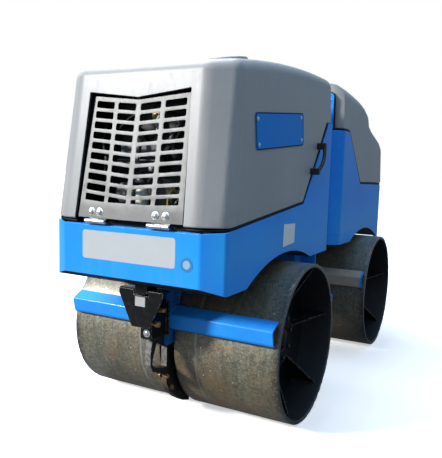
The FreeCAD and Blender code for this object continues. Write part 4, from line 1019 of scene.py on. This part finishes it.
bm = bmesh.new(); fan(bm)
add("cooling_fan_blades", bm, "plastic", "front_frame", sharp=60, replaces=("engine_cooling_fan",))
bm = bmesh.new(); cooler(bm)
bmesh.ops.recalc_face_normals(bm, faces=bm.faces)
add("oil_cooler", bm, "dark", "front_frame")


def dress(bm):
    box(bm, (-84, -1004, 946), (-12, -974, 984), 5)
    box(bm, (-2, -1006, 942), (64, -974, 988), 5)
    for k in range(3):
        box(bm, (-92, -1010, 912 + k * 9), (70, -980, 916 + k * 9), 1.2)
    lathe(bm, P(-58, -1016, 826), (0, 1, 0), [(0, 12), (1, 30), (2, 34), (5, 34), (8, 28), (13, 28), (16, 34), (19, 34), (20, 30), (24, 14), (52, 14)], 48)
    box(bm, (-96, -990, 752), (-18, -962, 806), 6)
    for x, z in ((-88, 760), (-26, 760), (-88, 798), (-26, 798)):
        hex_bolt(bm, P(x, -990, z), (0, -1, 0), 6, 5, turn=x + z)


group("engine_front_castings", "engine", "front_frame", dress)


def bright(bm):
    lathe(bm, P(60, -1006, 1004), (0, 0, 1), [(0, 5), (0, 8), (6, 8.4), (7, 5.2), (34, 5.2), (35, 8.4), (43, 8.4), (44, 6), (44, 0)], 24)
    lathe(bm, P(64, -1006, 1056), (.55, -.1, .8), [(0, 6), (0, 9), (16, 9), (18, 6), (26, 6), (26, 0)], 20)
    lathe(bm, P(2, -1014, 862), (0, 0, 1), [(0, 12), (1, 15), (6, 15), (7, 10), (20, 10), (22, 7), (22, 0)], 28)
    lathe(bm, P(-58, -1017, 826), (0, -1, 0), [(0, 14), (.8, 16), (3, 16), (4, 12), (9, 11), (11, 7), (11, 0)], 30)
    for x, z in ((2, 774), (30, 772), (-14, 948 - 10), (40, 905)):
        hex_bolt(bm, P(x, -1008, z), (0, -1, 0), 7, 6, turn=x)
    box(bm, (-10, -1012, 764), (42, -996, 780), 3)
    tube(bm, [P(*p) for p in ((30, -1008, 866), (44, -1014, 884), (60, -1012, 876), (70, -1004, 852))], .004, 10)


group("engine_bright_fittings", "alloy", "front_frame", bright)
group("fuel_filter_canister", "pale", "front_frame", lambda bm: lathe(
    bm, P(10, -1012, 782), (0, 0, 1), [(0, 10), (1, 17), (4, 20), (10, 20.4), (50, 20.4), (54, 20), (57, 17), (58, 15), (66, 15), (70, 12), (72, 8), (72, 0)], 44))


def brass_bits(bm):
    box(bm, (34, -998, 1046), (62, -972, 1084), 2.5)
    hex_bolt(bm, P(48, -998, 1072), (0, -1, 0), 7, 5)
    lathe(bm, P(48, -984, 1084), (0, 0, 1), [(0, 9), (5, 9), (6, 6), (14, 6), (15, 0)], 24)


group("brass_valve", "brass", "front_frame", brass_bits)


def runs(name, mat, rows):
    bm = bmesh.new()
    for r, pts in rows:
        tube(bm, [P(*p) for p in pts], r / 1000, 12)
    add(name, bm, mat, "front_frame")


runs("fuel_line", "yellow", [(2.7, [(142, -935, 866), (137, -985, 864), (128, -1012, 850), (112, -1015, 824), (106, -1013, 800), (110, -1008, 778), (112, -982, 755)])])
runs("bay_hoses", "hose", [
    (7, [(170, -960, 1090), (160, -1000, 1060), (120, -1022, 1010), (132, -1012, 950), (168, -985, 900)]),
    (5, [(-170, -960, 1060), (-160, -1004, 1000), (-128, -1020, 940), (-140, -1012, 860), (-150, -970, 800)]),
    (8, [(20, -965, 1010), (30, -1010, 1020), (90, -1020, 1000), (150, -1000, 985), (176, -960, 990)]),
    (5, [(60, -970, 760), (90, -1010, 764), (140, -1016, 800), (160, -990, 850), (165, -960, 880)]),
    (4, [(-30, -966, 880), (-20, -1012, 884), (16, -1020, 902), (50, -1004, 890), (58, -966, 880)])])
group("hose_clips", "dark", "front_frame", lambda bm: [lathe(bm, P(*p), a, [(-6, r), (-5.6, r + 1.2), (5.6, r + 1.2), (6, r)], 24) for p, a, r in (
    ((123, -1019.5, 1000), (-.25, -.1, -1), 7.6), ((131, -1012, 946), (.2, .1, -1), 7.6), ((-129, -1018.5, 935), (0, 0, -1), 5.6),
    ((86, -1017.5, 1001), (1, -.1, -.3), 8.6), ((140, -1014, 802), (.5, .2, .9), 5.6))])


# ------------------------------------------------------------- panels that close the bays towards the joint
bm = bmesh.new()
box(bm, (-262, -101, 893), (-244, -96, 1112), 1.5)
box(bm, (244, -101, 893), (262, -96, 1112), 1.5)
box(bm, (-262, -101, 1092), (262, -96, 1112), 1.5)
box(bm, (-262, -101, 893), (262, -96, 912), 1.5)
box(bm, (-7, -101, 900), (7, -96, 1100), 1.5)
for k in range(12):
    z = 914 + k * 15
    for x0, x1 in ((-246, -5), (5, 246)):
        rows = []
        for x in (x0, x1):
            rows.append([bm.verts.new(P(x, y, zz)) for y, zz in ((-112, z), (-111, z - 1.4), (-97, z + 12.6), (-98, z + 14))])
        a, b = rows
        for i in range(4):
            q = (i + 1) % 4
            bm.faces.new((a[i], a[q], b[q], b[i]))
        bm.faces.new(list(reversed(a))); bm.faces.new(b)
bmesh.ops.recalc_face_normals(bm, faces=bm.faces)
add("rear_louvre_panel", bm, "black", "front_frame", sharp=35)
bm = bmesh.new()
for sx in (-1, 1):
    for z in (903, 1000, 1102):
        hex_bolt(bm, P(sx * 253, -96, z), (0, 1, 0), 5, 4, turn=z)
add("louvre_panel_bolts", bm, "zinc", "front_frame")

# ------------------------------------------------------------- engine bay under the hood
def engine_top(bm):
    box(bm, (-120, -860, 1108), (60, -470, 1150), 10, 3)
    for k in range(13):
        y = -850 + k * 29
        box(bm, (-112, y, 1148), (52, y + 12, 1158), 2.5)
    for k in range(17):
        z = 690 + k * 22
        for sx in (-1, 1):
            box(bm, (sx * 199, -880, z) if sx > 0 else (-209, -880, z), (209, -420, z + 7) if sx > 0 else (-199, -420, z + 7), 2)


group("engine_fins", "engine", "front_frame", engine_top)


def engine_bits(bm):
    lathe(bm, P(140, -820, 1172), (0, 1, 0), [(0, 20), (1, 48), (5, 56), (12, 58), (290, 58), (298, 56), (303, 48), (304, 30), (304, 22), (330, 22), (330, 0)], 56)
    lathe(bm, P(140, -700, 1172), (0, 1, 0), [(-6, 58), (-5, 59.6), (5, 59.6), (6, 58)], 56)
    lathe(bm, P(140, -560, 1172), (0, 1, 0), [(-6, 58), (-5, 59.6), (5, 59.6), (6, 58)], 56)


group("air_cleaner", "plastic", "front_frame", engine_bits)


def exhaust(bm):
    lathe(bm, P(-165, -840, 1160), (0, 1, 0), [(0, 14), (2, 36), (8, 44), (20, 46), (260, 46), (272, 44), (278, 36), (280, 16), (280, 12), (300, 12), (300, 0)], 48)
    tube(bm, [P(*p) for p in ((-165, -562, 1160), (-165, -520, 1160), (-150, -480, 1150), (-120, -470, 1120))], .018, 20)


group("silencer", "zinc_rusty", "front_frame", exhaust)
bm = bmesh.new()
for x, y in ((-110, -850), (50, -850), (-110, -480), (50, -480), (-110, -665), (50, -665)):
    hex_bolt(bm, P(x, y, 1149), (0, 0, 1), 8, 6, turn=x + y)
for sx in (-1, 1):
    for y in (-860, -760, -650, -540, -430):
        hex_bolt(bm, P(sx * 200, y, 668), (sx, 0, 0), 9, 7, turn=y)
add("engine_bolts", bm, "zinc", "front_frame")


def tank_bits(bm):
    lathe(bm, P(130, 380, 838), (0, 0, 1), [(0, 30), (0, 40), (3, 42), (8, 42), (9, 36), (24, 36), (24, 44), (28, 46), (44, 46), (48, 42), (50, 20), (50, 0)], 44)
    box(bm, (-190, 560, 838), (-20, 770, 1000), 6)
    box(bm, (-196, 556, 980), (-14, 774, 1004), 4)
    for x in (-160, -50):
        lathe(bm, P(x, 600, 1004), (0, 0, 1), [(0, 9), (10, 8), (12, 6), (12, 0)], 24)


group("tank_fittings", "plastic", "rear_frame", tank_bits)


def valve(bm):
    box(bm, (20, 560, 838), (180, 680, 900), 4)
    for k in range(4):
        x = 44 + k * 38
        lathe(bm, P(x, 620, 899), (0, 0, 1), [(0, 14), (3, 15), (40, 15), (43, 12), (44, 6), (54, 6), (55, 0)], 30)
        hex_bolt(bm, P(x, 560, 868), (0, -1, 0), 9, 8, turn=k)


group("valve_block", "alloy", "rear_frame", valve)


# ------------------------------------------------------------- floor, light
def floor():
    bm = bmesh.new()
    bmesh.ops.create_grid(bm, x_segments=1, y_segments=1, size=60)
    me = bpy.data.meshes.new("floor"); bm.to_mesh(me); bm.free()
    ob = bpy.data.objects.new("floor", me)
    bpy.context.scene.collection.objects.link(ob)
    m = bpy.data.materials.new("floor"); m.use_nodes = True
    t = m.node_tree
    b = t.nodes["Principled BSDF"]
    lp = t.nodes.new("ShaderNodeLightPath")
    mx = t.nodes.new("ShaderNodeMix"); mx.data_type = "RGBA"
    mx.inputs[6].default_value = (0.16, 0.16, 0.165, 1)
    mx.inputs[7].default_value = (0.90, 0.90, 0.90, 1)
    t.links.new(lp.outputs["Is Camera Ray"], mx.inputs[0])
    t.links.new(mx.outputs[2], b.inputs["Base Color"])
    b.inputs["Roughness"].default_value = .9
    b.inputs["Specular IOR Level"].default_value = .1
    b.inputs["Emission Color"].default_value = (1, 1, 1, 1)
    em = t.nodes.new("ShaderNodeMath"); em.operation = "MULTIPLY"; em.inputs[1].default_value = FLOOR_GLOW
    t.links.new(lp.outputs["Is Camera Ray"], em.inputs[0])
    t.links.new(em.outputs[0], b.inputs["Emission Strength"])
    me.materials.append(m)


FLOOR_GLOW = 0.50
floor()


def sun(name, toward, energy, angle, color=(1, 1, 1)):
    l = bpy.data.lights.new(name, "SUN")
    l.energy, l.angle, l.color = energy, math.radians(angle), color
    ob = bpy.data.objects.new(name, l)
    ob.rotation_euler = Vector(toward).to_track_quat("Z", "Y").to_euler()
    bpy.context.scene.collection.objects.link(ob)


def area(name, at, to, size, power, color=(1, 1, 1)):
    l = bpy.data.lights.new(name, "AREA")
    l.shape, l.size, l.size_y, l.energy, l.color = "RECTANGLE", size[0], size[1], power, color
    ob = bpy.data.objects.new(name, l)
    ob.location = at
    ob.rotation_euler = (Vector(at) - Vector(to)).to_track_quat("Z", "Y").to_euler()
    bpy.context.scene.collection.objects.link(ob)
    l.use_shadow = True
    ob.visible_camera = False


sun("key", (-.86, -1.0, .62), 4.55, 8, (1.0, .99, .965))
area("top", (-1.45, .15, 4.2), (-1.45, .15, 0), (3, 3), 190, (.93, .97, 1))
area("rim", (-3.2, 2.6, 2.4), (0, .3, .9), (2.5, 2.5), 50, (.9, .95, 1))

w = bpy.data.worlds.new("world")
bpy.context.scene.world = w
w.use_nodes = True
t = w.node_tree
bg = t.nodes["Background"]
lp = t.nodes.new("ShaderNodeLightPath")
mx = t.nodes.new("ShaderNodeMix"); mx.data_type = "RGBA"
tc = t.nodes.new("ShaderNodeTexCoord")
sp = t.nodes.new("ShaderNodeSeparateXYZ")
t.links.new(tc.outputs["Generated"], sp.inputs[0])
up = t.nodes.new("ShaderNodeMapRange")
up.inputs["From Min"].default_value, up.inputs["From Max"].default_value = 0.0, 1.0
t.links.new(sp.outputs[2], up.inputs["Value"])
sky = t.nodes.new("ShaderNodeMix"); sky.data_type = "RGBA"
sky.inputs[6].default_value = (0.215, 0.275, 0.300, 1)
sky.inputs[7].default_value = (0.42, 0.66, 1.0, 1)
t.links.new(up.outputs[0], sky.inputs[0])
t.links.new(sky.outputs[2], mx.inputs[6])
mx.inputs[7].default_value = (1, 1, 1, 1)
t.links.new(lp.outputs["Is Camera Ray"], mx.inputs[0])
t.links.new(mx.outputs[2], bg.inputs["Color"])
bg.inputs["Strength"].default_value = 1
